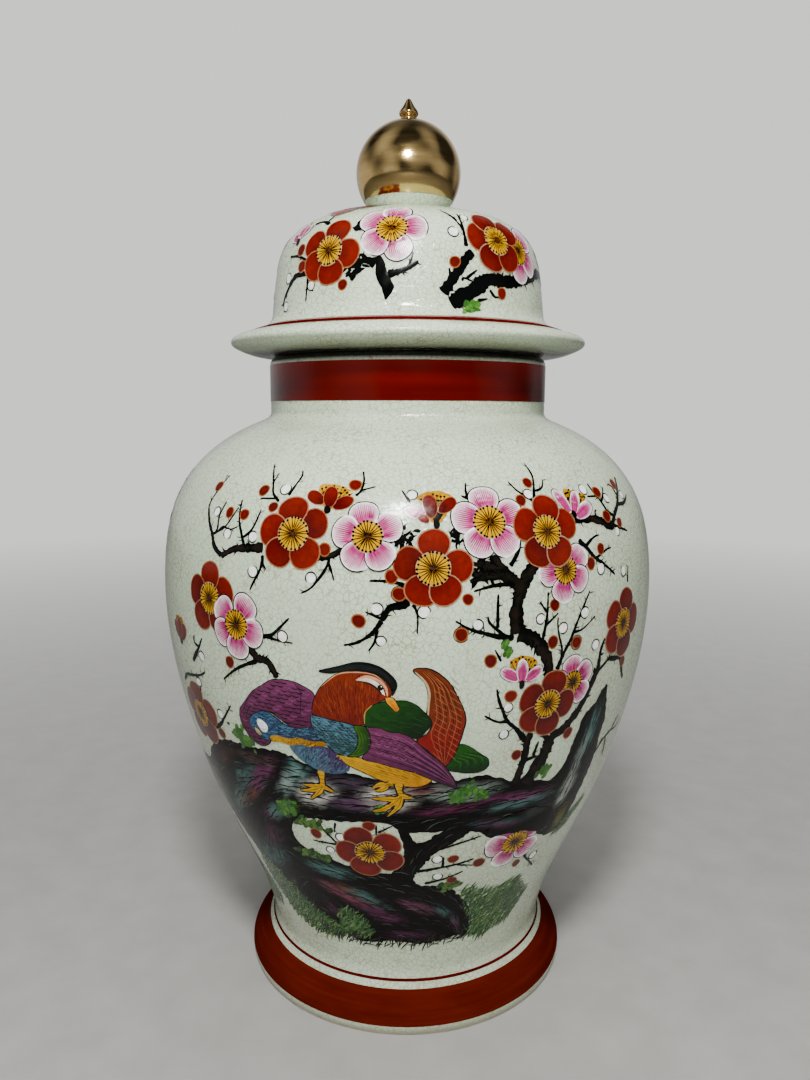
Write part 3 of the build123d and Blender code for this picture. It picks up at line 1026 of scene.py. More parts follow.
LOW_TWIGS = [
    (0.8, 0.4, [(-21.4, 101.5), (-18.7, 96.1), (-17.4, 92.9)]),
    (0.7, 0.3, [(-17, 104.3), (-17.7, 99.3)]),
    (0.5, 0.9, [(-24, 92.9), (-17.4, 93)]),
    (0.8, 0.3, [(-7.3, 105.2), (-7.4, 100.2)]),
    (0.8, 0.3, [(-7, 101.5), (-3.5, 105.2)]),
    (1.4, 0.6, [(2.3, 81.1), (7.6, 82.5), (12.8, 83.8), (17.1, 85.6)]),
    (0.8, 0.3, [(12.8, 83.4), (17.8, 81.8)]),
    (0.8, 0.3, [(9, 82.9), (9, 88.4)]),
    (1.2, 0.4, [(4.7, 74), (10.2, 76.1), (14.9, 79.3)]),
    (1, 0.4, [(5, 91.5), (11, 94.4), (17.8, 97.5)]),
    (1.3, 0.4, [(29.8, 83.4), (33, 81.1), (35.6, 77), (40.4, 70.2)]),
]
LID_TWIGS = [
    (2.6, 1.4, [(-7.9, 313.7), (-4.4, 314.5), (-0.8, 316), (3.3, 318.7)]),
    (0.8, 0.3, [(-0.4, 316.2), (1.5, 322)]),
    (3.4, 1, [(-12.6, 318), (-17, 319.4), (-20.6, 317.6), (-24, 317)]),
    (1.8, 0.6, [(-18.4, 318.8), (-21.2, 315), (-24.6, 313.5)]),
    (1.6, 0.5, [(-15.2, 318.6), (-18.2, 321.4), (-20.2, 321)]),
    (2.4, 1.4, [(-22.9, 331.6), (-20.4, 333.6), (-17.6, 332.8)]),
    (1.6, 0.6, [(-37, 335.6), (-42, 337.4), (-47.9, 337.2)]),
    (1.2, 0.6, [(-38.8, 336.2), (-38.6, 339.6)]),
    (2.2, 0.9, [(-42, 317), (-44.4, 316.4), (-51.1, 316), (-56.1, 311.4), (-59.1, 307.2), (-60, 304.5)]),
    (1.2, 0.4, [(-43.4, 316.4), (-42.9, 313.3), (-43.2, 305.2)]),
    (1, 0.4, [(-43, 312.6), (-39.4, 308.9)]),
    (1.2, 0.5, [(-44.4, 321.4), (-50.2, 323.9), (-57.6, 324.8)]),
    (3.6, 3, [(12.4, 306.8), (16.6, 312.8), (21.5, 319.8), (25, 323.3)]),
    (4.8, 5.4, [(15.2, 302.8), (18, 304.4), (24.8, 308.6), (29.8, 312.6)]),
    (5.2, 3.4, [(28.6, 312.2), (33, 313.2), (40, 313), (48.9, 314.4), (60, 317.6), (70, 320.6)]),
    (1.2, 0.4, [(22.4, 325.2), (22.3, 331.4), (22.3, 339)]),
    (0.9, 0.3, [(22.3, 331.4), (20.9, 334.5), (18, 338.3)]),
    (0.8, 0.3, [(20.6, 335.6), (17.4, 338.7), (14.8, 339.8)]),
    (1, 0.4, [(20, 311.6), (20.6, 312.9), (24.2, 311.8)]),
    (1, 0.4, [(21.8, 312.9), (26.5, 316.4)]),
    (1.1, 0.4, [(31.8, 309), (34.2, 306.4), (36.5, 306.8)]),
    (1, 0.4, [(26.2, 304.5), (30.6, 305.5)]),
    (0.9, 0.4, [(15, 316.4), (15, 313.7)]),
]

# Tangles where branches meet: centre, width, height, strokes
MIDDLE_TANGLES = [((-1.5, 217.5), 12, 7, 34), ((9.1, 218.5), 6, 4, 14), ((13.6, 205.5), 9, 8, 22)]
LID_TANGLES = [((-21, 316.5), 8, 6, 22), ((-19.5, 332), 5, 3, 10)]


def spray(ink, buds, start, heading, length, width, depth=2):
    """A twig that wanders on from a place, with side twigs, and a bud at each tip."""
    surface = ink.surface
    places = [start]
    for _ in range(3):
        heading += random.uniform(-20, 20)
        places.append(surface.near(places[-1], *toward(length / 3, math.radians(heading))))
    twig(ink, width, width * 0.35, places)
    if depth:
        for place in places[1:3]:
            side = heading + random.choice((-1, 1)) * random.uniform(35, 65)
            spray(ink, buds, place, side, length * 0.55, width * 0.55, depth - 1)
    tip = surface.near(places[-1], *toward(2.0, math.radians(heading)))
    if random.random() < 0.5:
        white_bud(buds, tip, random.uniform(1.5, 1.9))
    else:
        red_bud(buds, tip, random.uniform(1.8, 2.4))


# The painting round the back, which the front doesn't show: the trunk's left limb goes on, and a
# young tree stands on the right. Blossoms: centre, angle of the first petal, colour, lift
BACK_BLOSSOMS = {
    "a": ((-86, 196), 20, "red", UNDER),
    "b": ((-97, 209), 55, "pink", OVER),
    "c": ((-111, 201), 0, "red", UNDER),
    "d": ((-127, 214), 30, "pink", UNDER),
    "e": ((-141, 205), 10, "red", OVER),
    "f": ((-149.5, 194), 48, "pink", UNDER),
    "g": ((-104, 160), 25, "pink", UNDER),
    "h": ((-94, 153), 60, "red", OVER),
    "i": ((-146, 150), 15, "red", UNDER),
    "j": ((172, 216), 35, "red", UNDER),
    "k": ((158, 207), 5, "pink", OVER),
    "l": ((139, 216), 40, "red", UNDER),
    "m": ((122, 205), 20, "pink", UNDER),
    "n": ((104, 214), 50, "red", UNDER),
    "o": ((88, 222), 0, "pink", UNDER),
    "q": ((116, 160), 45, "red", UNDER),
    "r": ((126, 151), 10, "pink", OVER),
    "s": ((87, 180), 20, "pink", UNDER),
    "t": ((164, 158), 60, "pink", UNDER),
    "u": ((-88, 72), 30, "red", UNDER),
    "v": ((106, 74), 50, "pink", UNDER),
    "w": ((-152, 92), 15, "pink", UNDER),
    "x": ((-168, 104), 40, "red", UNDER),
    "y": ((134, 104), 5, "red", UNDER),
    "z": ((150, 114), 30, "pink", UNDER),
}
# Limbs: widths, places. Sprays: place, heading in degrees, length, width
BACK_LIMBS = [
    (
        [15, 14, 12, 10, 8.5, 7, 5, 3.5],
        [(-70, 101), (-79, 99), (-90, 103), (-100, 113), (-108, 126), (-117, 139), (-128, 149), (-139, 158)],
    ),
    ([6, 5, 4, 3, 2.4], [(-104, 120), (-101, 136), (-96, 150), (-93, 168), (-88, 184)]),
    ([5, 4.2, 3.4, 2.6, 1.8], [(-120, 142), (-123, 158), (-119, 176), (-113, 190), (-120, 206)]),
    ([3.5, 3, 2.6, 2], [(-137, 157), (-146, 172), (-150, 186), (-158, 200)]),
    ([9, 8, 6.5, 5], [(-76, 96), (-88, 84), (-100, 74), (-112, 60)]),
    ([13, 11, 8.5, 7, 5.5, 4.6], [(84, 38), (86, 58), (90, 82), (96, 104), (103, 121), (110, 138)]),
    ([4, 3.4, 2.8, 2.2], [(98, 110), (94, 132), (90, 152), (86, 176)]),
    ([3.6, 3.2, 2.6, 2], [(107, 134), (112, 150), (121, 170), (124, 190)]),
    ([2.8, 2.4, 2, 1.6], [(122, 174), (134, 184), (146, 192), (160, 196)]),
    ([2.6, 2.2, 1.8], [(89, 158), (94, 178), (98, 196)]),
    ([5.4, 4.8, 4, 3.2, 2.2], [(-103, 71), (-117, 63), (-132, 66), (-146, 78), (-160, 88)]),
    ([5.6, 4.8, 4, 3.2, 2.2], [(90, 84), (99, 90), (111, 89), (124, 94), (138, 96)]),
]
BACK_SPRAYS = [
    ((-78, 204), 120, 22, 1.4), ((-90, 218), 70, 18, 1.2), ((-104, 220), 100, 18, 1.2),
    ((-117, 222), 60, 16, 1.1), ((-134, 220), 110, 18, 1.2), ((-155, 204), 60, 22, 1.4),
    ((-133, 188), -60, 22, 1.3), ((-100, 186), -100, 16, 1.1), ((-112, 168), 20, 20, 1.3),
    ((-84, 148), 200, 20, 1.2), ((-154, 158), 20, 22, 1.3), ((-136, 138), -30, 18, 1.1),
    ((180, 208), -110, 20, 1.2), ((168, 226), 95, 16, 1.1), ((148, 226), 80, 16, 1.1),
    ((150, 186), -70, 20, 1.3), ((132, 222), 110, 14, 1), ((112, 224), 75, 18, 1.2),
    ((96, 228), 100, 14, 1), ((94, 206), 60, 16, 1.1), ((96, 190), -60, 20, 1.2),
    ((128, 170), 40, 20, 1.2), ((95, 128), 150, 18, 1.2), ((110, 170), 130, 20, 1.2),
    ((136, 144), -20, 20, 1.2), ((172, 166), 60, 20, 1.3), ((156, 152), 200, 18, 1.1),
    ((-98, 80), 60, 18, 1.1), ((92, 92), 120, 16, 1.1), ((92, 66), 20, 18, 1),
    ((-128, 66), 80, 20, 1.2), ((-160, 88), 150, 20, 1.3), ((-140, 72), 30, 18, 1.1),
    ((112, 92), 70, 20, 1.2), ((138, 96), 20, 20, 1.2), ((104, 90), -60, 16, 1.1),
    ((-150, 80), -100, 16, 1),
]
BACK_LID_BLOSSOMS = {
    "a": ((92, 328), 20, "red", UNDER),
    "b": ((106, 322), 50, "pink", OVER),
    "c": ((-96, 327), 10, "pink", UNDER),
    "d": ((-109, 322), 40, "red", OVER),
    "e": ((176, 329), 25, "red", UNDER),
    "f": ((-168, 322.5), 60, "pink", OVER),
    "g": ((136, 326), 0, "red", UNDER),
    "h": ((-140, 327), 35, "red", UNDER),
}
BACK_LID_LIMBS = [
    ([3.4, 3, 2.4, 1.6], [(70, 320.6), (80, 318), (96, 312), (112, 310)]),
    ([3.6, 3, 2.4, 1.6], [(126, 309), (138, 314), (152, 320), (166, 324)]),
    ([3.4, 3, 2.2, 1.4], [(-82, 311), (-94, 316), (-110, 312), (-124, 314)]),
    ([3.2, 2.6, 2, 1.4], [(-134, 312), (-146, 318), (-158, 315), (-170, 312)]),
]
BACK_LID_SPRAYS = [
    ((100, 314), 60, 14, 1.1), ((118, 312), 20, 14, 1.1), ((150, 320), 80, 12, 1),
    ((160, 316), -30, 12, 1), ((-88, 316), 120, 12, 1), ((-124, 315), 170, 14, 1),
    ((-150, 318), 70, 14, 1.1), ((-172, 312), 200, 12, 0.9), ((82, 330), 130, 10, 0.9),
    ((-120, 330), 60, 10, 0.9), ((146, 330), 45, 10, 0.9), ((-82, 322), 100, 12, 0.9),
]


def paint_back(word, surface, blossoms, limbs, sprays, size=1.0):
    """The painting away from the front: limbs, their twigs and buds, and blossoms over them."""
    bark = Paint(f"limbs_{word}", surface, "bark")
    tone = washed(surface, BARK, [])
    tints = [TEAL, MAUVE, BROWN, rgb(110, 114, 104)]
    for widths, places in limbs:
        stroke(bark, places, widths, 0.14, lambda azimuth, z, share: tone(azimuth, z), 1.5, wobble=0.12)
        for _ in range(5 * len(places)):
            k = random.randrange(len(places) - 1)
            share = random.random()
            spot = tuple(a + (b - a) * share for a, b in zip(places[k], places[k + 1]))
            across, up = surface.step(places[k], places[k + 1])
            turn = math.atan2(up, across)
            start = surface.near(spot, *turned(0, random.uniform(-0.28, 0.28) * widths[k], turn))
            end = surface.near(start, *toward(random.uniform(4, 9), turn))
            tint = mix(random.choice(tints), BARK, random.uniform(0.1, 0.6))
            stroke(bark, [start, end], [widths[k] * 0.14, widths[k] * 0.06], 0.17, tint, 1.5, wobble=0.3)
    bark.finish()
    halves = {
        "left": [row for row in sprays if row[0][0] < 0],
        "right": [row for row in sprays if row[0][0] >= 0],
    }
    for side, rows in halves.items():
        ink = Paint(f"twigs_{word}_{side}", surface, "ink")
        buds = Paint(f"buds_{word}_{side}", surface, "petals")
        for start, heading, length, width in rows:
            spray(ink, buds, start, heading, length, width)
        ink.finish()
        buds.finish()
    for letter, (centre, turn, kind, lift) in blossoms.items():
        angles = [turn + 72 * k + random.uniform(-6, 6) for k in range(5)]
        random.shuffle(angles)
        blossom(f"blossom_{word}_{letter}", surface, centre, angles, kind, lift, size)


def paint_twigs(name, surface, twigs, tangles=()):
    paint = Paint(name, surface, "ink")
    for first, last, places in twigs:
        twig(paint, first, last, places)
    for tangle in tangles:
        thicket(paint, *tangle)
    paint.finish()


def paint_buds(name, surface, whites, reds, ringed=()):
    paint = Paint(name, surface, "petals")
    for place in whites:
        white_bud(paint, place, random.uniform(1.55, 2.0))
    for place in reds:
        red_bud(paint, place, random.uniform(1.9, 2.5))
    for place in ringed:
        ringed_bud(paint, place)
    paint.finish()


# ---------------------------------------------------------------- the old trunk, grass and leaves

# The trunk's outline, clockwise from its left end: the lying limb, the right-hand limb, the root
TRUNK = [
    (-74, 106), (-68, 110.5), (-60, 113), (-54.7, 120.4), (-50, 126.3), (-45, 129.9), (-40, 131.3),
    (-33.7, 132.4), (-27.1, 133.1), (-22, 130), (-14, 128.4), (-6, 126), (2, 125.2), (10.6, 125.3),
    (13.3, 126.6), (18, 125.3), (22.7, 122.1), (25.1, 120.7), (29.1, 119.8), (33, 117.5), (35.1, 118.5),
    (36.4, 122.1), (37.5, 125.7), (38.5, 132.5), (39.3, 139.4), (40.6, 145.3), (43, 147.1),
    (46.2, 154.8), (47.5, 146.2), (49, 137.1), (49.2, 127), (49, 117.5), (48.3, 108.4), (47.5, 99.3),
    (45.9, 92.5), (43.3, 88.4), (39.6, 87.9), (35.6, 90.6), (33, 92.9), (29.8, 94.7), (24.8, 95.4),
    (20.1, 96.2), (17.5, 98.8), (14.8, 100.6), (11.6, 97), (8.6, 93.4), (6, 90.2), (3.9, 85.6),
    (2.3, 81.5), (1.5, 78.4), (1.9, 73.8), (4.9, 72.5), (7.6, 71.5), (12.8, 68.8), (15, 65),
    (17.4, 60.8), (19.5, 56.3), (20.5, 51.3), (21.2, 45.8), (20.8, 39), (18.9, 40.4), (16.3, 40.4),
    (7.9, 38.1), (3.2, 38.1), (-3.7, 39.5), (-8.9, 39), (-12.1, 38.1), (-17.1, 37.6), (-20, 39.5),
    (-24.5, 39), (-27.4, 36.5), (-29.7, 38.6), (-31.1, 41.8), (-36, 45), (-41.5, 52), (-47, 62),
    (-52, 70), (-58, 84), (-63, 90), (-70, 94), (-76, 99),
]
OVAL_OPENING = [
    (-29.8, 94.3), (-28.8, 99.7), (-25.4, 103.8), (-19.8, 105.2), (-12.2, 106.3), (-5.6, 106.1),
    (-3.5, 105.2), (-2.2, 102), (-1.4, 97), (-0.6, 92.5), (-1.1, 88.4), (-2.9, 83.4), (-5.1, 79.3),
    (-9.3, 80.4), (-16.1, 82), (-21.4, 84.3), (-25.2, 86.1), (-27.8, 87.9), (-29.4, 91.1),
]
SMALL_OPENING = [(0.5, 102), (4.6, 102.4), (8.9, 102.5), (6.6, 100), (4.7, 97.9), (1.9, 96.3), (1, 99)]
LIMB_EDGE = [
    (19, 97.6), (24.8, 95.9), (29.8, 95.2), (33, 93.4), (36.4, 91.4), (38.4, 93), (38.4, 99), (36, 104),
    (30, 106.5), (24, 105.5), (20, 102),
]
# Washes of colour over the trunk: place, long and wide radius, angle, colour, strength
TRUNK_WASHES = [
    ((-41, 116), 11, 4.5, 40, TEAL, 0.7), ((-47.5, 101), 12, 5, 45, TEAL, 0.75),
    ((-43, 75), 15, 8, 20, TEAL, 0.6), ((-22, 77.5), 13, 4.5, -6, TEAL, 0.8),
    ((-15, 66), 10, 4, -14, TEAL, 0.7), ((-10, 62), 9, 3, -20, TEAL, 0.6),
    ((-24, 127), 9, 5, 60, TEAL, 0.8), ((27, 111), 17, 2.6, 2, TEAL, 0.75),
    ((22, 103), 14, 2, -6, TEAL, 0.4), ((41, 110), 10, 4.5, 75, rgb(170, 176, 168), 0.8),
    ((44, 135), 13, 3.6, 82, TEAL, 0.85), ((42, 124), 12, 3.2, 80, rgb(150, 164, 156), 0.7),
    ((6, 121), 6, 3.5, 0, rgb(150, 160, 150), 0.6), ((13, 119.5), 13, 4.5, 4, rgb(140, 158, 146), 0.8),
    ((-4.5, 118), 11, 6.5, 8, rgb(204, 202, 190), 1), ((-20.5, 117.5), 9, 6, 30, rgb(204, 204, 194), 1),
    ((-27, 120), 9, 4, 55, rgb(150, 168, 162), 0.8), ((-36, 117), 17, 4, 52, MAUVE, 0.95),
    ((-38, 88), 9, 5.5, 40, MAUVE, 0.7), ((-35, 101), 9, 4, 35, MAUVE, 0.6),
    ((-19, 64), 18, 4.2, -20, rgb(122, 66, 84), 0.85), ((-8, 55), 14, 4, -16, MAUVE, 0.75),
    ((3, 60), 12, 3.4, -24, rgb(122, 72, 96), 0.7), ((1, 43), 16, 2.6, 0, MAUVE, 0.6),
    ((-24, 52), 9, 4, -40, MAUVE, 0.5), ((26, 114), 18, 2.6, -3, rgb(110, 52, 88), 0.85),
    ((21, 102.5), 11, 2.6, -14, MAUVE, 0.6), ((-11, 115), 15, 3.6, 6, rgb(92, 66, 90), 0.85),
    ((9, 112.5), 15, 2.6, 2, rgb(96, 40, 70), 0.85), ((3, 122), 8, 3, 0, rgb(84, 34, 40), 0.8),
    ((-14, 124), 13, 3.4, -6, rgb(70, 56, 70), 0.9), ((-18, 68.5), 8, 2.6, -20, BROWN, 0.85),
    ((-43, 104.5), 15, 3, 38, BROWN, 0.85), ((-47, 122), 9, 3.4, 40, BROWN, 0.7),
    ((43, 96), 8, 4.5, 80, rgb(104, 100, 46), 0.85), ((40, 84), 10, 3.4, 30, rgb(104, 100, 46), 0.8),
    ((12, 55), 9, 3, -40, TEAL, 0.55), ((16.5, 47), 8, 2.6, -60, rgb(98, 66, 92), 0.6),
    ((-29.5, 106.5), 7, 3.2, 30, rgb(84, 138, 44), 1), ((-33, 104), 8, 4, 40, TEAL, 0.7),
    ((-41, 57), 12, 4, 50, rgb(92, 110, 84), 0.6), ((-60, 100), 12, 6, 20, rgb(88, 92, 84), 0.7),
    ((-36, 127), 12, 2.6, 4, rgb(96, 74, 70), 0.6), ((33, 105), 10, 4, 10, rgb(58, 62, 58), 0.7),
]
# How the bark runs: places with the brush's direction there, in degrees
TRUNK_FLOW = [
    (-70, 103, 15), (-55, 114, 35), (-42, 122, 12), (-30, 124, 0), (-15, 112, 4), (0, 112, 2),
    (15, 110, 2), (30, 108, 0), (38, 100, 25), (44, 108, 78), (45, 125, 82), (46, 145, 80),
    (-35, 108, 42), (-45, 100, 44), (-40, 85, 68), (-32, 78, -30), (-22, 75, -10), (-36, 60, 55),
    (-25, 60, -30), (-12, 62, -16), (0, 58, -18), (10, 60, -40), (-5, 45, -4), (10, 45, -8),
    (18, 50, -65), (2, 88, 75), (5, 98, 40), (-3, 74, -10),
]


def trunk_flow(azimuth, z):
    total = [0.0, 0.0]
    for place_azimuth, place_z, angle in TRUNK_FLOW:
        pull = 1 / (30 + (1.7 * (azimuth - place_azimuth)) ** 2 + (z - place_z) ** 2) ** 2
        total[0] += pull * math.cos(math.radians(2 * angle))
        total[1] += pull * math.sin(math.radians(2 * angle))
    return math.degrees(math.atan2(total[1], total[0])) / 2


def washed(surface, base, washes):
    """A colouring of places: mottled base with soft washes over it."""
    flat_washes = []
    for place, long, wide, angle, colour, strength in washes:
        turn = math.radians(angle)
        along = (math.cos(turn), math.sin(turn))
        flat_washes.append((surface.flat(place), long, wide, along, colour, strength))

    def colour_at(azimuth, z):
        x, y = surface.flat((azimuth, z))
        grain = noise.fractal(Vector((x * 0.09, y * 0.16, 3.0)), 1.0, 2.0, 4)
        colour = shade(base, 1 + 0.9 * grain)
        for (cx, cy), long, wide, (cos, sin), tint, strength in flat_washes:
            along = ((x - cx) * cos + (y - cy) * sin) / long
            beside = (-(x - cx) * sin + (y - cy) * cos) / wide
            far = along * along + beside * beside
            if far < 1.6:
                streak = noise.noise(Vector((along * long * 0.14, beside * wide * 0.75, long)))
                cover = math.exp(-1.5 * far) * (1.05 + 1.2 * streak) - 0.1
                colour = mix(colour, tint, strength ** 1.5 * min(1.0, max(0.0, 1.4 * cover)))
        return colour

    return colour_at


def paint_trunk():
    outline = flat_outline(BODY, TRUNK, 0.45)
    holes = [flat_outline(BODY, OVAL_OPENING, 0.25), flat_outline(BODY, SMALL_OPENING, 0.15)]
    paint = Paint("trunk", BODY, "bark")
    region(paint, outline, washed(BODY, BARK, TRUNK_WASHES), 0.12, holes, spacing=1.5)
    paint.finish()
    strokes = Paint("trunk_brush", BODY, "ink")
    deep = [rgb(8, 8, 8), rgb(15, 12, 12), rgb(20, 22, 20)]
    light = [rgb(50, 56, 50), rgb(54, 34, 50), rgb(40, 60, 58), rgb(42, 34, 28), rgb(74, 80, 72)]
    hatch(strokes, outline, 0.15, deep, trunk_flow, 9.0, 0.85, 4.4, holes, bend=0.3)
    hatch(strokes, outline, 0.16, light, trunk_flow, 6.5, 0.42, 6.5, holes, bend=0.4)
    for loop in (outline, *holes):
        places = [BODY.unflat(spot) for spot in loop]
        for start in range(0, len(places) - 6, 5):
            if random.random() < 0.75:
                part = places[start:start + random.randint(5, 9)]
                widths = [0.3] + [random.uniform(0.7, 1.5) for _ in part[2:]] + [0.3]
                stroke(strokes, part, widths, 0.155, random.choice(deep), 2.0, wobble=0.3)
    strokes.finish()


def paint_limb_edge():
    """The limb's lower edge, where it passes in front of the low pink blossom."""
    paint = Paint("limb_edge", BODY, "bark")
    outline = flat_outline(BODY, LIMB_EDGE, 0.3)
    region(paint, outline, washed(BODY, BARK, TRUNK_WASHES), 0.38, spacing=1.5)
    paint.finish()


def leaf_patch(paint, centre, wide, high, turn, tones, lift, blades):
    """A tuft of moss or lichen: short overlapping dabs."""
    surface = paint.surface
    for _ in range(2 * blades):
        spot = surface.near(centre, random.gauss(0, wide / 4), random.gauss(0, high / 4))
        radius = random.uniform(0.6, 1.25)
        outline = round_outline(radius, 9, 0.12, 1.5, math.radians(turn + random.gauss(0, 25)))
        tone = random.choice(tones)
        rings = [(0.0, tone), (0.7, tone), (1.0, shade(tone, 0.6))]
        patch(paint, spot, outline, lift + random.uniform(0, 0.03), rings)


def grass(paint, outline, spacing, lift=0.15):
    """Hatched grass that leans to the upper right."""
    tones = [rgb(38, 72, 28), rgb(66, 104, 42), rgb(26, 50, 26), rgb(94, 122, 70), rgb(48, 80, 56)]
    flat = flat_outline(paint.surface, outline)
    hatch(paint, flat, lift, tones, 48, 7.5, 0.75, spacing * 0.7, bend=0.3, spread=30, loose=True)
    hatch(paint, flat, lift + 0.02, tones, 35, 5.0, 0.5, spacing * 0.8, bend=-0.3, spread=40, loose=True)


RIGHT_GRASS = [
    (15.8, 67.2), (17.9, 69.5), (22.4, 65.8), (28.9, 65), (34.2, 67.2), (36.6, 64.9), (41, 57.2),
    (44.7, 52.6), (42, 46.7), (38.2, 40.4), (31.6, 38.5), (28.9, 36.3), (23.2, 37.6), (21.8, 42.2),
    (21, 51.3),
]
LEFT_GRASS = [
    (-51, 70), (-45, 66), (-37, 55), (-29, 47), (-20, 42), (-24, 37.5), (-33, 36), (-41, 39), (-48, 46),
    (-53, 57),
]
LIMB_TUFT = [(43.5, 86.5), (45.5, 92), (49, 96.5), (53.5, 99), (51.5, 92), (47, 86)]
ROOT_GRASS = [(-23, 53), (-18, 56), (-13, 48), (-12, 42), (-17, 39.5), (-22, 44)]

# Tufts of moss: centre, width, height, blades
MOSS_TUFTS = [
    ((-29.2, 107), 9, 7, 22), ((10.9, 118.5), 6, 5, 16), ((13.2, 120.4), 5, 5, 14),
    ((16.2, 118.2), 5, 4, 12), ((31.2, 124), 5, 4, 10), ((-39, 136), 8, 8, 22), ((-36, 134), 6, 6, 14),
    ((18, 179.5), 3, 2, 5), ((18.5, 176.6), 3, 3, 6), ((-6.2, 112.4), 4, 3, 6),
]


def paint_leaves():
    paint = Paint("grass_front", BODY, "leaves")
    for outline, spacing in ((RIGHT_GRASS, 2.75), (LEFT_GRASS, 2.4), (ROOT_GRASS, 2.6), (LIMB_TUFT, 2.6)):
        grass(paint, outline, spacing, 0.15 if outline is RIGHT_GRASS else 0.2)
    tones = [rgb(50, 84, 28), rgb(74, 106, 44), rgb(30, 58, 24)]
    for centre, wide, high in (((-25.0, 84.5), 16, 5), ((-24.0, 101.6), 15, 4), ((11.6, 72.0), 8, 4)):
        leaf_patch(paint, centre, wide, high, 40, tones, 0.15, 30)
    paint.finish()
    moss = Paint("moss_front", BODY, "leaves")
    bright = [rgb(58, 106, 34), rgb(76, 122, 48), rgb(44, 84, 30), rgb(56, 98, 46)]
    for centre, wide, high, blades in MOSS_TUFTS:
        leaf_patch(moss, centre, wide, high, 60, bright, 0.2, blades)
    moss.finish()
    lid_leaf = Paint("leaf_lid", LID, "leaves")
    leaf_patch(lid_leaf, (23.0, 302.0), 7, 4, 20, bright, 0.2, 18)
    lid_leaf.finish()


ROOT_FOOT = [
    (-31, 44), (-26, 40.5), (-18, 41.5), (-10, 41), (0, 41.5), (10, 41), (21, 43), (22, 38), (14, 37),
    (4, 35.8), (-6, 37), (-14, 35.6), (-22, 36.4), (-30, 39),
]


def paint_root_foot():
    paint = Paint("root_fringe", BODY, "leaves")
    tones = [INK, rgb(20, 22, 14), rgb(34, 46, 24), rgb(46, 30, 40)]
    flat = flat_outline(BODY, ROOT_FOOT)
    hatch(paint, flat, 0.26, tones, 38, 6.5, 0.6, 2.6, bend=0.3, spread=45, loose=True)
    paint.finish()


BACK_GRASS = [
    [
        (-152, 39), (-142, 44), (-130, 41), (-118, 48), (-106, 44), (-96, 53), (-86, 50), (-78, 64),
        (-70, 82), (-63, 62), (-54, 49), (-54, 40), (-70, 36.5), (-92, 37.5), (-112, 36.2), (-134, 37),
    ],
    [
        (76, 38), (80, 48), (83, 62), (87, 66), (93, 56), (98, 44), (108, 42), (120, 46), (132, 53),
        (142, 44), (156, 41), (164, 38.5), (146, 36.5), (124, 37.5), (102, 36.2), (84, 36.6),
    ],
    [(-176, 40), (-171, 46), (-165, 42), (-160, 38), (-170, 36.8)],
]


def paint_back_ground():
    paint = Paint("grass_back", BODY, "leaves")
    for outline in BACK_GRASS:
        grass(paint, outline, 2.8)
    for centre in ((-82.0, 104.0), (-100.0, 118.0), (97.0, 100.0), (88.0, 62.0), (-112.0, 130.0)):
        leaf_patch(paint, centre, 8, 5, 30, [rgb(40, 96, 16), rgb(24, 66, 14)], 0.2, 16)
    paint.finish()


LID_STUB = [
    (-12.2, 321), (-9.5, 319), (-8.5, 315), (-6.5, 311), (-5.5, 308.5), (-8.7, 304), (-10, 308),
    (-12.5, 313.5),
]


def paint_lid_stub():
    paint = Paint("stub_lid", LID, "bark")
    outline = flat_outline(LID, LID_STUB, 0.15, 1.0)
    washes = [
        ((-8.5, 312), 4, 1.2, 80, rgb(44, 43, 39), 0.4),
        ((-11, 317), 4, 1.2, 70, rgb(40, 32, 29), 0.35),
    ]
    region(paint, outline, washed(LID, INK, washes), 0.17, spacing=1.2)
    paint.finish()


# ---------------------------------------------------------------- the pair of ducks

def between(first, last, shares):
    """Lines that lie between two lines of places with the same number of points."""
    for share in shares:
        yield [(a[0] + (b[0] - a[0]) * share, a[1] + (b[1] - a[1]) * share) for a, b in zip(first, last)]


def tone_between(first, last, start, end):
    """A colouring that runs from one tone at a place to another at a second, slightly mottled."""
    span = Vector((end[0] - start[0], end[1] - start[1]))

    def colour_at(azimuth, z):
        share = ((azimuth - start[0]) * span.x + (z - start[1]) * span.y) / span.length_squared
        grain = 0.35 * noise.noise(Vector((azimuth * 0.5, z * 0.35, 5.0)))
        return shade(mix(first, last, share + grain), 1 + 0.3 * grain)

    return colour_at


def part(paint, places, colour, lift, ink_width=0.4):
    """One plumage area: its filled shape and its ink outline, if it has one. Returns the flat outline."""
    outline = flat_outline(paint.surface, places, 0.0, 1.2)
    region(paint, outline, colour, lift, spacing=1.6, sink=0.03)
    if ink_width:
        edge_line(paint, outline, lift + 0.012, INK, ink_width)
    return outline


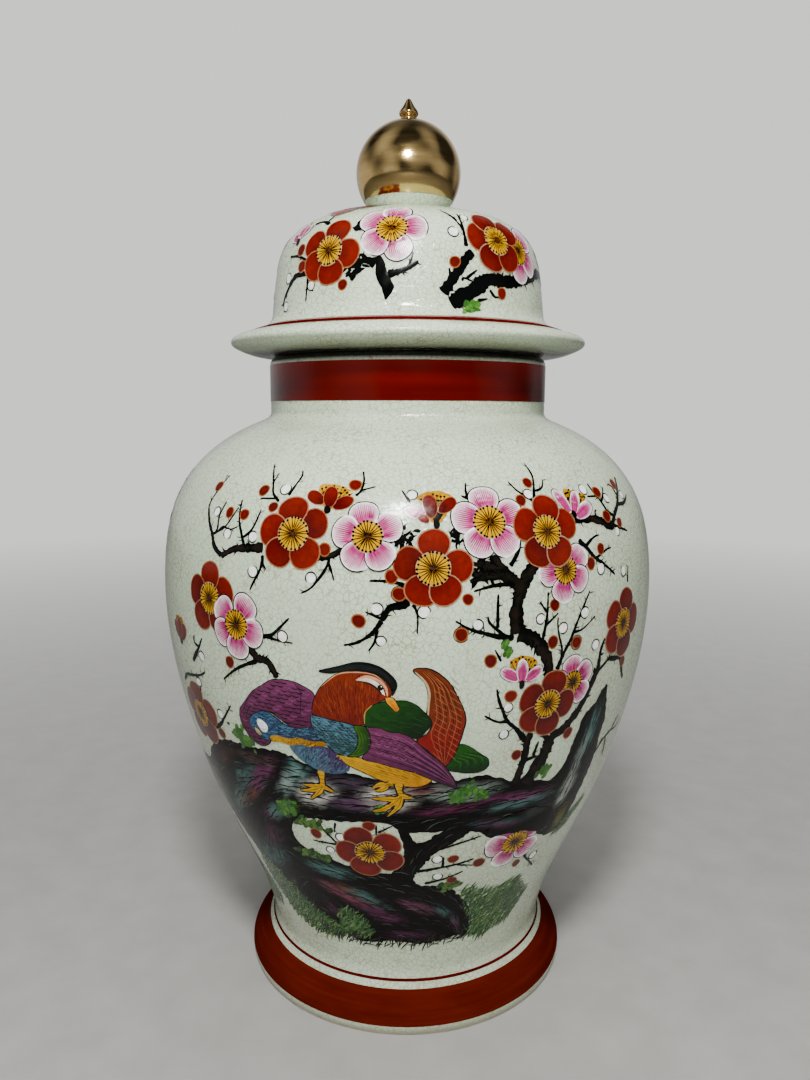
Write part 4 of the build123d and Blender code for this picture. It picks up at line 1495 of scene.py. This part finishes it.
DRAKE_HEAD = [
    (-18.9, 153.5), (-18.5, 157.1), (-17.2, 162.1), (-15.1, 166.6), (-12.7, 169.4), (-10.3, 170.4),
    (-7.2, 170.2), (-5.1, 168.2), (-3.7, 165.3), (-3.2, 162.1), (-4, 160.5), (-5.6, 158.9),
    (-7.2, 156.6), (-8.2, 153.9), (-8.7, 149.8), (-10.1, 149.1), (-12.4, 150), (-15.3, 150.7),
    (-18.7, 152.1),
]
DRAKE_CREST = [
    (-17, 169.4), (-13.5, 171.6), (-10.3, 173.5), (-7.7, 173.7), (-5.1, 172.1), (-2.9, 168.5),
    (-2.2, 165.3), (-3.1, 161.4), (-3.3, 163.9), (-4, 166.2), (-5.6, 168.9), (-7.7, 170),
    (-10.3, 170.4), (-12.7, 169.6), (-15.1, 168.8),
]
DRAKE_LOBE = [
    (-8.6, 150.7), (-8.2, 154.4), (-6.9, 157.3), (-5.1, 158.9), (-1.6, 159.6), (0.7, 158.7),
    (2.6, 155.7), (4, 152.5), (4.3, 150.3), (3.1, 147.1), (1.5, 144.4), (-1.4, 146.6), (-3.7, 147.1),
    (-5.6, 148.5), (-8.2, 148.9),
]
DRAKE_BREAST = [
    (-19.1, 151.4), (-15.1, 150.5), (-11.4, 149.4), (-10.1, 147.1), (-9.8, 142.5), (-10.6, 138.5),
    (-12.2, 136), (-14.8, 136.9), (-16.4, 139.4), (-18.2, 142.5), (-19.1, 146.2),
]
DRAKE_COLLAR = [
    (-10.6, 148.8), (-8.5, 148.9), (-7.6, 146.2), (-7.4, 142.1), (-8.2, 138.5), (-10.1, 136.2),
    (-12.4, 135.8), (-11, 138), (-10.1, 141), (-10, 145),
]
DRAKE_WING = [
    (-8.2, 148.9), (-5.6, 148.4), (-2.9, 147.2), (-0.6, 146), (1.3, 143.4), (3.6, 138.9), (6.3, 134.4),
    (8.1, 130.3), (9.4, 126.6), (10.2, 122.5), (8.6, 123.5), (4.9, 126.6), (1.3, 129.8), (-2.9, 132.1),
    (-6.1, 133.9), (-9.3, 135.3), (-8.2, 138.5), (-7.4, 142.1), (-7.6, 146.2),
]
DRAKE_BELLY = [
    (-14.9, 135.7), (-12.4, 136), (-9.3, 135.6), (-5.6, 134.2), (-1.6, 132.4), (1.3, 130.6),
    (4.8, 126.9), (2.8, 123.9), (-0.3, 123.7), (-2.9, 124.8), (-5.6, 126.2), (-9.3, 129.4),
    (-12.4, 132.1),
]
DRAKE_SAIL = [
    (0.6, 171), (1.5, 171.9), (3.6, 171.6), (5.7, 169.4), (7.6, 165.7), (8.9, 161.2), (10.2, 156.2),
    (10.9, 151.6), (10.6, 147.1), (9.9, 141.6), (8.9, 136.2), (7.3, 132.1), (6, 134.8), (3.9, 138.9),
    (1.5, 143.4), (3.6, 146.6), (4.4, 150.7), (3.4, 153.9), (3.5, 158), (3.5, 162.5), (2.8, 166.6),
    (1.5, 169.4),
]
DRAKE_TAIL = [
    (10, 141.4), (12.5, 139.6), (14.8, 136.2), (16.4, 133.9), (16.6, 130.7), (15.1, 128.7),
    (12.7, 128.5), (10.1, 129.4), (7.6, 131.2), (8.6, 135.4),
]


def foot(paint, leg, toes, tone, lift):
    """A leg and its toes, each with a dark edge round it and fine dark lines on it."""
    edge, line = rgb(24, 17, 6), rgb(62, 40, 6)
    stroke(paint, leg, [4.2, 3.1, 3.3], lift - 0.025, edge, 1.0)
    stroke(paint, leg, [3.2, 2.0, 2.2], lift, tone, 1.0)
    for toe in toes:
        widths = [2.0] * (len(toe) - 1) + [0.5]
        stroke(paint, toe, [width + 1.0 for width in widths], lift - 0.015, edge, 1.0, wobble=0.15)
        stroke(paint, toe, widths, lift + 0.01, tone, 1.0, wobble=0.15)
        stroke(paint, toe, [0.4] * (len(toe) - 1) + [0.15], lift + 0.03, line, 1.0)
    for share in (0.25, 0.5, 0.75):
        x = leg[0][0] + (leg[-1][0] - leg[0][0]) * share
        z = leg[0][1] + (leg[-1][1] - leg[0][1]) * share
        stroke(paint, [(x - 0.6, z), (x + 0.6, z - 0.3)], 0.28, lift + 0.03, line, 1.0)


def paint_drake_head():
    head = Paint("drake_head", BODY, "plumage")
    tone = tone_between(rgb(104, 24, 6), rgb(112, 38, 10), (-10, 152), (-12, 170))
    flat = part(head, DRAKE_HEAD, tone, 0.2)
    strokes = [rgb(138, 60, 18), rgb(124, 48, 14), rgb(72, 14, 5), rgb(84, 22, 6)]

    def fan(azimuth, z):
        return math.degrees(math.atan2(z - 118.0, (azimuth + 10.0) * 1.9))

    hatch(head, flat, 0.225, strokes, fan, 3.8, 0.3, 1.25, spread=9)
    for line, width in (
        ([(-9.8, 167.0), (-8.0, 168.4), (-5.9, 167.4), (-4.4, 164.6), (-4.0, 161.2)], 1.1),
        ([(-16.6, 163.5), (-13.4, 168.6), (-10.0, 169.9), (-6.6, 169.4), (-4.4, 166.2)], 0.4),
    ):
        widths = [width * 0.4] + [width] * (len(line) - 2) + [width * 0.4]
        stroke(head, line, widths, 0.24, rgb(206, 150, 110), 1.0)
    eye = [
        (-9.9, 167.0), (-7.7, 167.9), (-5.8, 166.4), (-4.8, 163.9), (-4.5, 161.4), (-5.0, 162.2),
        (-5.9, 164.4), (-7.4, 166.2),
    ]
    part(head, eye, lambda a, z: mix(rgb(236, 226, 214), rgb(206, 150, 110), (-5.5 - a) / 6), 0.26, 0.0)
    lid = [(-9.6, 166.7), (-7.4, 166.0), (-5.8, 163.9), (-4.9, 161.6)]
    stroke(head, lid, [0.3, 0.6, 0.6, 0.3], 0.275, INK, 1.0)
    pupil = [(0.0, INK), (0.8, INK), (1.0, rgb(80, 60, 30))]
    patch(head, (-5.3, 164.5), round_outline(1.15, 12), 0.285, pupil)
    patch(head, (-5.1, 164.9), round_outline(0.3, 8), 0.3, [(0.0, WHITE), (1.0, WHITE)])
    beak = [
        (-4.4, 160.6), (-3.0, 160.8), (-2.3, 158.6), (-1.8, 156.2), (-2.6, 155.3), (-3.4, 157.0),
        (-4.2, 158.6),
    ]
    part(head, beak, tone_between(rgb(206, 138, 14), rgb(186, 110, 16), (-4, 161), (-2, 156)), 0.33, 0.3)
    stroke(head, [(-4.0, 159.6), (-3.2, 158.2), (-2.3, 155.9)], 0.22, 0.35, rgb(110, 66, 14), 1.0)
    head.finish()


def paint_drake_crest():
    crest = Paint("drake_crest", BODY, "plumage")
    part(crest, DRAKE_CREST, tone_between(rgb(16, 24, 21), rgb(4, 6, 6), (-16, 170), (-8, 171)), 0.22, 0.25)
    upper = [(-15.5, 169.8), (-11.0, 172.6), (-7.7, 172.9), (-4.9, 171.0), (-2.9, 167.0)]
    lower = [(-13.0, 169.9), (-10.0, 170.9), (-7.5, 170.6), (-5.2, 169.4), (-3.7, 166.2)]
    for line in between(upper, lower, (0.25, 0.5, 0.75)):
        stroke(crest, line, [0.2, 0.34, 0.34, 0.3, 0.15], 0.24, rgb(32, 42, 38), 1.2)
    crest.finish()


def paint_drake_lobe():
    lobe = Paint("drake_lobe", BODY, "plumage")
    flat = part(lobe, DRAKE_LOBE, tone_between(rgb(16, 62, 10), rgb(4, 34, 6), (-7, 154), (2, 148)), 0.26)
    hatch(lobe, flat, 0.28, [rgb(30, 78, 18), rgb(4, 26, 6), rgb(14, 54, 12)], -18, 4.5, 0.3, 2.0, spread=16)
    front = [(-8.5, 150.0), (-8.3, 154.4), (-6.9, 157.6)]
    stroke(lobe, front, [0.3, 0.5, 0.3], 0.29, rgb(160, 130, 60), 1.0)
    lobe.finish()


def paint_drake_breast():
    breast = Paint("drake_breast", BODY, "plumage")
    tone = tone_between(rgb(66, 100, 116), rgb(40, 74, 70), (-15, 150), (-13, 137))
    flat = part(breast, DRAKE_BREAST, tone, 0.2)
    tones = [rgb(12, 20, 32), rgb(18, 28, 36), rgb(72, 114, 128), rgb(14, 24, 26), rgb(20, 26, 48)]
    scales(breast, flat, 0.225, tones, -14, 1.6, 0.46)
    hatch(breast, flat, 0.24, [rgb(84, 124, 138), rgb(16, 26, 36)], -24, 1.9, 0.3, 1.5, spread=22)
    part(breast, DRAKE_COLLAR, tone_between(rgb(52, 92, 16), rgb(8, 42, 8), (-10, 142), (-7.6, 142)), 0.23)
    outer = [(-9.0, 148.4), (-7.9, 145.6), (-7.8, 142.0), (-8.6, 138.9), (-10.4, 136.8)]
    inner = [(-10.3, 148.2), (-9.8, 145.2), (-9.7, 141.4), (-10.6, 138.4), (-11.8, 136.6)]
    for line in between(outer, inner, (0.2, 0.5, 0.8)):
        stroke(breast, line, 0.34, 0.25, rgb(14, 38, 14), 1.2)
    breast.finish()


def paint_drake_wing():
    wing = Paint("drake_wing", BODY, "plumage")
    part(wing, DRAKE_WING, tone_between(rgb(104, 44, 80), rgb(62, 18, 50), (-7, 147), (8, 125)), 0.22)
    upper = [(-7.6, 148.2), (-3.8, 147.2), (-0.4, 145.2), (3.4, 138.4), (6.8, 132.6), (9.6, 124.8)]
    lower = [(-8.4, 136.6), (-5.6, 134.6), (-2.4, 132.8), (1.8, 130.2), (5.2, 127.2), (9.6, 123.4)]
    for k, line in enumerate(between(upper, lower, [n / 9 for n in range(1, 9)])):
        tone = rgb(32, 8, 30) if k % 2 else rgb(118, 60, 96)
        stroke(wing, line, [0.3, 0.5, 0.5, 0.5, 0.4, 0.15], 0.245, tone, 1.2, wobble=0.2)
    for x in (-6.6, -5.0, -3.4, -1.8, -0.2):
        for k in range(5):
            z = 146.6 - 1.9 * k - 0.5 * (x + 6.6)
            ends = [(x, z), (x + 0.8, z - 1.2), (x + 1.5, z - 0.4)]
            stroke(wing, ends, [0.2, 0.45, 0.2], 0.26, rgb(38, 10, 36) if k % 2 else rgb(124, 70, 104), 1.0)
    wing.finish()


def paint_drake_belly():
    belly = Paint("drake_belly", BODY, "plumage")
    part(belly, DRAKE_BELLY, tone_between(rgb(192, 142, 0), rgb(180, 122, 0), (-10, 134), (0, 125)), 0.2)
    for start in ((-6.6, 133.0), (-4.8, 132.4), (-3.0, 131.6), (-1.2, 130.8), (0.6, 129.6), (-5.6, 130.6),
                  (-3.6, 129.8), (-1.4, 128.6)):
        end = (start[0] + 1.6, start[1] - 1.7)
        stroke(belly, [start, end], [0.5, 0.15], 0.225, rgb(60, 38, 6), 1.0)
    upper = [(-13.4, 135.4), (-7.6, 133.6), (-1.8, 130.8), (3.4, 127.2)]
    lower = [(-12.4, 132.8), (-8.0, 129.4), (-2.6, 125.8), (2.0, 124.6)]
    for line in between(upper, lower, (0.2, 0.4, 0.6, 0.8)):
        stroke(belly, line, [0.15, 0.3, 0.3, 0.12], 0.22, rgb(104, 66, 8), 1.5)
    foot(belly, [(-2.0, 125.2), (-1.9, 122.0), (-1.4, 119.4)], [
        [(-1.4, 119.6), (-2.6, 118.2), (-5.0, 118.0), (-7.9, 117.9)],
        [(-1.4, 119.4), (-3.2, 116.0), (-5.6, 113.0), (-7.8, 112.0)],
        [(-1.4, 119.2), (-2.2, 114.6), (-4.6, 109.7)],
        [(-1.4, 119.6), (-0.2, 118.9), (0.9, 118.7)],
    ], OCHRE, 0.26)
    foot(belly, [(-3.4, 125.4), (-4.0, 124.8), (-4.8, 124.0)], [
        [(-4.6, 124.4), (-6.2, 124.2), (-7.6, 122.4)],
        [(-4.4, 124.0), (-5.4, 122.4), (-7.0, 121.4)],
    ], OCHRE, 0.24)
    belly.finish()


def paint_drake_sail():
    sail = Paint("drake_sail", BODY, "plumage")
    part(sail, DRAKE_SAIL, tone_between(rgb(114, 15, 4), rgb(98, 42, 18), (3, 143), (7, 158)), 0.18, 0.55)
    left = [(2.2, 170.6), (4.0, 166.0), (4.4, 160.0), (4.6, 153.0), (3.6, 145.4), (6.6, 134.0)]
    right = [(3.8, 170.9), (7.2, 165.0), (8.9, 159.2), (10.4, 151.4), (10.0, 144.0), (7.6, 133.6)]
    for k, line in enumerate(between(left, right, [n / 9 for n in range(1, 9)])):
        tone = (rgb(140, 78, 44), rgb(60, 20, 8))[k % 2]
        stroke(sail, line, [0.2, 0.36, 0.4, 0.4, 0.34, 0.15], 0.205, tone, 1.5, wobble=0.2)
    for k in range(13):
        z = 166.5 - 2.5 * k
        reach = 1.2 + 1.6 * math.sin(math.pi * (k + 1) / 14)
        for x in (5.6, 8.4):
            barb = [(x - 0.9, z + 2.0), (x + reach * 0.6, z - 1.4)]
            stroke(sail, barb, [0.14, 0.26], 0.225, rgb(150, 86, 50), 1.5)
    front = [(1.0, 170.6), (2.9, 166.8), (3.7, 162.4), (3.6, 157.4), (3.6, 153.6)]
    stroke(sail, front, [0.3, 0.8, 0.9, 0.8, 0.4], 0.225, rgb(176, 150, 112), 1.2)
    sail.finish()


def paint_drake_tail():
    tail = Paint("drake_tail", BODY, "leaves")
    part(tail, DRAKE_TAIL, tone_between(rgb(22, 72, 12), rgb(6, 42, 8), (12, 138), (13, 130)), 0.16, 0.3)
    for k in range(9):
        end = (9.6 + 0.82 * k, 129.6 + 0.35 * k + (k % 3) * 0.5)
        line = [(8.6 + 0.35 * k, 134.6 + 0.4 * k), (9.8 + 0.7 * k, 133.0 + 0.3 * k), end]
        stroke(tail, line, [0.2, 0.4, 0.15], 0.185, rgb(44, 96, 28) if k % 2 else rgb(4, 26, 6), 1.2)
    tail.finish()


def paint_drake():
    paint_drake_head()
    paint_drake_crest()
    paint_drake_lobe()
    paint_drake_breast()
    paint_drake_wing()
    paint_drake_belly()
    paint_drake_sail()
    paint_drake_tail()


HEN_BODY = [
    (-29.9, 160.4), (-27, 163.6), (-23, 164.2), (-20, 162.5), (-18.2, 160), (-18.6, 155), (-19, 150),
    (-19.3, 147), (-21, 145.2), (-24, 145.5), (-26, 147.5), (-28, 149.5), (-30, 150), (-32.4, 148.1),
    (-33.2, 146), (-34.4, 143), (-33.2, 139.4), (-31.4, 138), (-29.6, 137.6), (-30.5, 135.4),
    (-32.6, 134.2), (-35, 135.8), (-36.6, 139.5), (-37.3, 144), (-36.8, 148.1), (-34.7, 152.6),
    (-32.4, 157.2),
]
HEN_THROAT = [
    (-34.2, 145.4), (-32.4, 148.3), (-30, 149.8), (-27.6, 148.4), (-25, 145.7), (-22, 145.4),
    (-19, 146.4), (-17.6, 142.6), (-18.5, 140.9), (-25, 139.2), (-27.6, 139.6), (-29.6, 137.4),
    (-31.6, 137.6), (-33.4, 139.4), (-34.6, 142.6),
]
HEN_BAND = [
    (-29.6, 139.4), (-27.6, 140.6), (-25.4, 140.2), (-22.6, 141.3), (-20, 140.6), (-17.2, 141),
    (-16.4, 139.4), (-18.4, 138.9), (-20.6, 138), (-22.4, 138.5), (-24.6, 137.3), (-27, 137.8),
    (-29, 137.2),
]
HEN_UNDER = [
    (-25, 137.4), (-21.5, 138.4), (-17, 139), (-14.6, 136.4), (-12.2, 132.4), (-12.4, 129.4),
    (-15, 127.6), (-18, 127.8), (-20.6, 129.4), (-23.4, 132.6),
]


def paint_hen_body():
    body = Paint("hen_body", BODY, "plumage")
    tone = tone_between(rgb(104, 46, 82), rgb(84, 28, 62), (-28, 160), (-24, 147))
    flat = part(body, HEN_BODY, tone, 0.16)
    for row in range(18):
        z = 163.0 - 1.6 * row
        for column in range(12):
            x = -36.6 + 1.6 * column + 0.8 * (row % 2)
            line = [(x, z + 0.35), (x + 0.8, z - 0.35), (x + 1.7, z + 0.25)]
            if all(inside(BODY.flat(place), flat) for place in line):
                tone = rgb(10, 3, 11) if (row + column) % 4 else rgb(112, 56, 94)
                stroke(body, line, [0.35, random.uniform(0.6, 0.95), 0.35], 0.185, tone, 1.0, wobble=0.2)
    fold = [(-22.2, 163.4), (-21.0, 160.0), (-21.3, 155.0), (-21.6, 149.4)]
    stroke(body, fold, [0.3, 0.55, 0.55, 0.3], 0.19, rgb(50, 16, 48), 1.2)
    for line in (
        [(-36.0, 147.0), (-34.6, 152.0), (-31.6, 157.6)], [(-35.4, 142.6), (-34.9, 147.2), (-33.2, 151.6)],
        [(-36.5, 142.0), (-35.9, 138.6), (-33.8, 136.0)], [(-34.9, 141.2), (-34.4, 138.4), (-32.2, 136.4)],
    ):
        stroke(body, line, [0.25, 0.5, 0.25], 0.19, rgb(48, 16, 46), 1.2)
    body.finish()


def paint_hen_throat():
    throat = Paint("hen_throat", BODY, "plumage")
    tone = tone_between(rgb(44, 82, 116), rgb(38, 58, 80), (-31, 146), (-20, 142))
    flat = part(throat, HEN_THROAT, tone, 0.2)
    tones = [rgb(12, 18, 36), rgb(70, 112, 130), rgb(14, 24, 42), rgb(60, 46, 86)]
    scales(throat, flat, 0.225, tones, 10, 1.5, 0.44)
    hatch(throat, flat, 0.24, [rgb(78, 120, 136), rgb(14, 22, 40)], 8, 1.8, 0.3, 1.5, spread=30)
    patch(throat, (-31.1, 143.4), round_outline(2.4, 14, 0.08, 1.25, 1.9), 0.25,
          [(0.0, WHITE), (0.8, WHITE), (1.0, rgb(170, 180, 190))])
    stroke(throat, [(-32.4, 142.6), (-31.2, 141.9), (-29.9, 142.4)], [0.3, 0.6, 0.3], 0.265, INK, 1.0)
    beak = [(-33.4, 142.0), (-32.2, 141.2), (-31.6, 139.4), (-32.4, 138.8), (-33.2, 139.8)]
    part(throat, beak, lambda a, z: rgb(170, 152, 112), 0.26, 0.35)
    throat.finish()


def paint_hen_band():
    band = Paint("hen_band", BODY, "plumage")
    tone = tone_between(rgb(178, 130, 4), rgb(136, 92, 6), (-28, 140), (-18, 139))
    flat = part(band, HEN_BAND, tone, 0.235, 0.0)
    tones = [rgb(70, 40, 8), rgb(40, 26, 12), rgb(206, 160, 50)]
    hatch(band, flat, 0.255, tones, 60, 1.6, 0.42, 1.1, spread=40)
    band.finish()


def paint_hen_under():
    under = Paint("hen_under", BODY, "plumage")
    tone = tone_between(rgb(62, 96, 112), rgb(62, 42, 80), (-22, 133), (-16, 137))
    flat = part(under, HEN_UNDER, tone, 0.19, 0.0)
    tones = [rgb(24, 30, 56), rgb(74, 112, 128), rgb(84, 48, 88), rgb(18, 26, 42), rgb(84, 124, 134)]
    hatch(under, flat, 0.215, tones, 62, 2.6, 0.5, 1.25, spread=30, bend=0.3)
    foot(under, [(-18.5, 128.2), (-18.5, 124.6), (-18.6, 121.0)], [
        [(-18.6, 121.4), (-20.6, 120.6), (-23.4, 120.4)],
        [(-18.6, 121.0), (-20.0, 117.6), (-22.0, 114.2)],
        [(-18.6, 121.2), (-17.4, 120.2), (-16.1, 119.2)],
        [(-18.6, 121.0), (-21.0, 118.8), (-24.4, 117.4)],
    ], OCHRE, 0.25)
    under.finish()


def paint_hen():
    paint_hen_body()
    paint_hen_throat()
    paint_hen_band()
    paint_hen_under()


# ---------------------------------------------------------------- the painting

random.seed(11)
paint_trunk()
paint_limb_edge()
paint_leaves()
paint_lid_stub()
paint_hen()
paint_drake()
for letter, (centre, angles, kind, lift) in FRONT_BLOSSOMS.items():
    blossom(f"blossom_front_{letter}", BODY, centre, angles, kind, lift, SMALLER.get(letter, 1.0))
for letter, (centre, angles, kind, lift) in LID_BLOSSOMS.items():
    blossom(f"blossom_lid_{letter}", LID, centre, angles, kind, lift, 1.0, 6.3)
for word, (petals, calyx, fan, kind) in FRONT_HALVES.items():
    half_blossom(f"side_blossom_{word}", BODY, petals, calyx, fan, kind)
for word, (petals, calyx, fan, kind) in LID_HALVES.items():
    half_blossom(f"side_blossom_lid_{word}", LID, petals, calyx, fan, kind)
paint_buds("buds_front", BODY, FRONT_WHITE_BUDS, FRONT_RED_BUDS, FRONT_RINGED_BUDS)
paint_buds("buds_lid", LID, LID_WHITE_BUDS, LID_RED_BUDS)
paint_twigs("twigs_upper_left", BODY, UPPER_LEFT_TWIGS)
paint_twigs("twigs_middle", BODY, MIDDLE_TWIGS, MIDDLE_TANGLES)
paint_twigs("twigs_right", BODY, RIGHT_TWIGS)
paint_twigs("twigs_low", BODY, LOW_TWIGS)
paint_twigs("twigs_lid", LID, LID_TWIGS, LID_TANGLES)
paint_root_foot()

random.seed(23)
paint_back("back", BODY, BACK_BLOSSOMS, BACK_LIMBS, BACK_SPRAYS)
paint_back("lid_back", LID, BACK_LID_BLOSSOMS, BACK_LID_LIMBS, BACK_LID_SPRAYS, 0.95)
paint_back_ground()


# ---------------------------------------------------------------- floor, lights and camera

BACKDROP = rgb(228, 228, 225)
BACKDROP_GLOW = 1.3
FLOOR_RADIUS = 4.0
JAR_MIDDLE = Vector((0, 0, 0.2))


def paper_material():
    """The pale, faintly mottled paper that the jar stands on, which fades into the backdrop."""
    material, shader = new_material("pale_floor", 0.7)
    graph = Graph(material)
    fibre = graph.ramp(graph.noise(45.0, 6.0), 0.3, 0.7)
    graph.put(shader.inputs["Base Color"], graph.blend(fibre, rgb(170, 169, 166), rgb(181, 180, 177)))
    graph.put(shader.inputs["Normal"], graph.bump(fibre, 0.0002, 0.3))
    far = graph.times(graph.ramp(graph.radius(), 0.22, 1.5), graph.add("LightPath", "Is Camera Ray"))
    glow = graph.add("Emission", Color=BACKDROP, Strength=BACKDROP_GLOW)
    both = graph.add("MixShader", i0=far, i1=shader.outputs[0], i2=glow)
    graph.put(material.node_tree.nodes["Material Output"].inputs["Surface"], both)
    return material


floor_mesh = bpy.data.meshes.new("floor")
ring = [(*toward(FLOOR_RADIUS, math.radians(angle)), 0) for angle in range(0, 360, 6)]
floor_mesh.from_pydata(ring, [], [tuple(range(len(ring)))])
floor_mesh.materials.append(paper_material())
floor = bpy.data.objects.new("floor", floor_mesh)
bpy.context.scene.collection.objects.link(floor)
floor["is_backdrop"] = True


def area_light(name, place, size, power, colour, seen=False):
    """A round lamp that faces the jar. Only a seen one is mirrored in the glaze."""
    light = bpy.data.lights.new(name, "AREA")
    light.shape = "DISK"
    light.size = size
    light.energy = power
    light.color = colour
    lamp = bpy.data.objects.new(name, light)
    lamp.location = place
    lamp.rotation_euler = (JAR_MIDDLE - Vector(place)).to_track_quat("-Z", "Y").to_euler()
    lamp.visible_glossy = seen
    bpy.context.scene.collection.objects.link(lamp)


area_light("lamp", (-0.012, -0.411, 0.585), 0.1, 4.2, (1.0, 1.0, 0.99), seen=True)
area_light("front_fill", (0.0, -1.9, 0.75), 1.3, 14.0, (1.0, 1.0, 0.98))
area_light("ceiling", (0.0, -0.1, 1.8), 1.2, 7.5, (1.0, 0.99, 0.97))
area_light("left_fill", (-1.5, -0.9, 0.8), 2.2, 0.4, (0.96, 0.98, 1.0))
area_light("right_fill", (1.6, -0.7, 0.8), 2.2, 0.3, (0.96, 0.98, 1.0))
area_light("back_fill", (0.2, 1.6, 1.1), 1.4, 5.0, (1.0, 1.0, 1.0))


def studio_world():
    """Soft light from all round, a plain backdrop for the camera, and a cloudy room for mirrors."""
    world = bpy.data.worlds.new("studio")
    world.use_nodes = True
    sky = Graph(world, "Generated")
    grey = sky.blend(sky.ramp(sky.place("Z"), -0.2, 0.7), (0.36, 0.36, 0.36), (0.62, 0.62, 0.61))
    soft = sky.nodes["Background"]
    sky.put(soft.inputs["Color"], grey)
    sky.put(soft.inputs["Strength"], 0.2)
    cloud = sky.noise(1.3, 0.4, rough=0.5)
    lean = sky.add("Math", settings={"operation": "MULTIPLY_ADD"}, i0=sky.place("X"), i1=-0.16, i2=cloud)
    mirrored = sky.add("Background", Color=sky.ramp(lean, 0.36, 0.66, 0.05, 1.0), Strength=0.6)
    backdrop = sky.add("Background", Color=BACKDROP, Strength=BACKDROP_GLOW)
    is_mirror = sky.add("LightPath", "Is Glossy Ray")
    unseen = sky.add("MixShader", i0=is_mirror, i1=soft.outputs[0], i2=mirrored)
    is_camera = sky.add("LightPath", "Is Camera Ray")
    sky.put(
        sky.nodes["World Output"].inputs["Surface"],
        sky.add("MixShader", i0=is_camera, i1=unseen, i2=backdrop),
    )
    return world


bpy.context.scene.world = studio_world()

# The camera looks down on the jar a little from in front of it, and is turned by a trace
CAMERA_PLACE = (-0.001, -0.400, 0.2614)
LOOKS_DOWN = 8.63
ROLL = 0.2
camera_data = bpy.data.cameras.new("camera")
camera_data.lens = 28.33
camera_data.sensor_width = 36.0
camera_data.clip_start = 0.01
camera = bpy.data.objects.new("camera", camera_data)
pitch = Matrix.Rotation(math.radians(90 - LOOKS_DOWN), 4, "X")
roll = Matrix.Rotation(math.radians(ROLL), 4, "Z")
camera.matrix_world = Matrix.Translation(CAMERA_PLACE) @ pitch @ roll
bpy.context.scene.collection.objects.link(camera)
bpy.context.scene.camera = camera

[[list(corner) for corner in box] for box in (cad_box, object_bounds())]
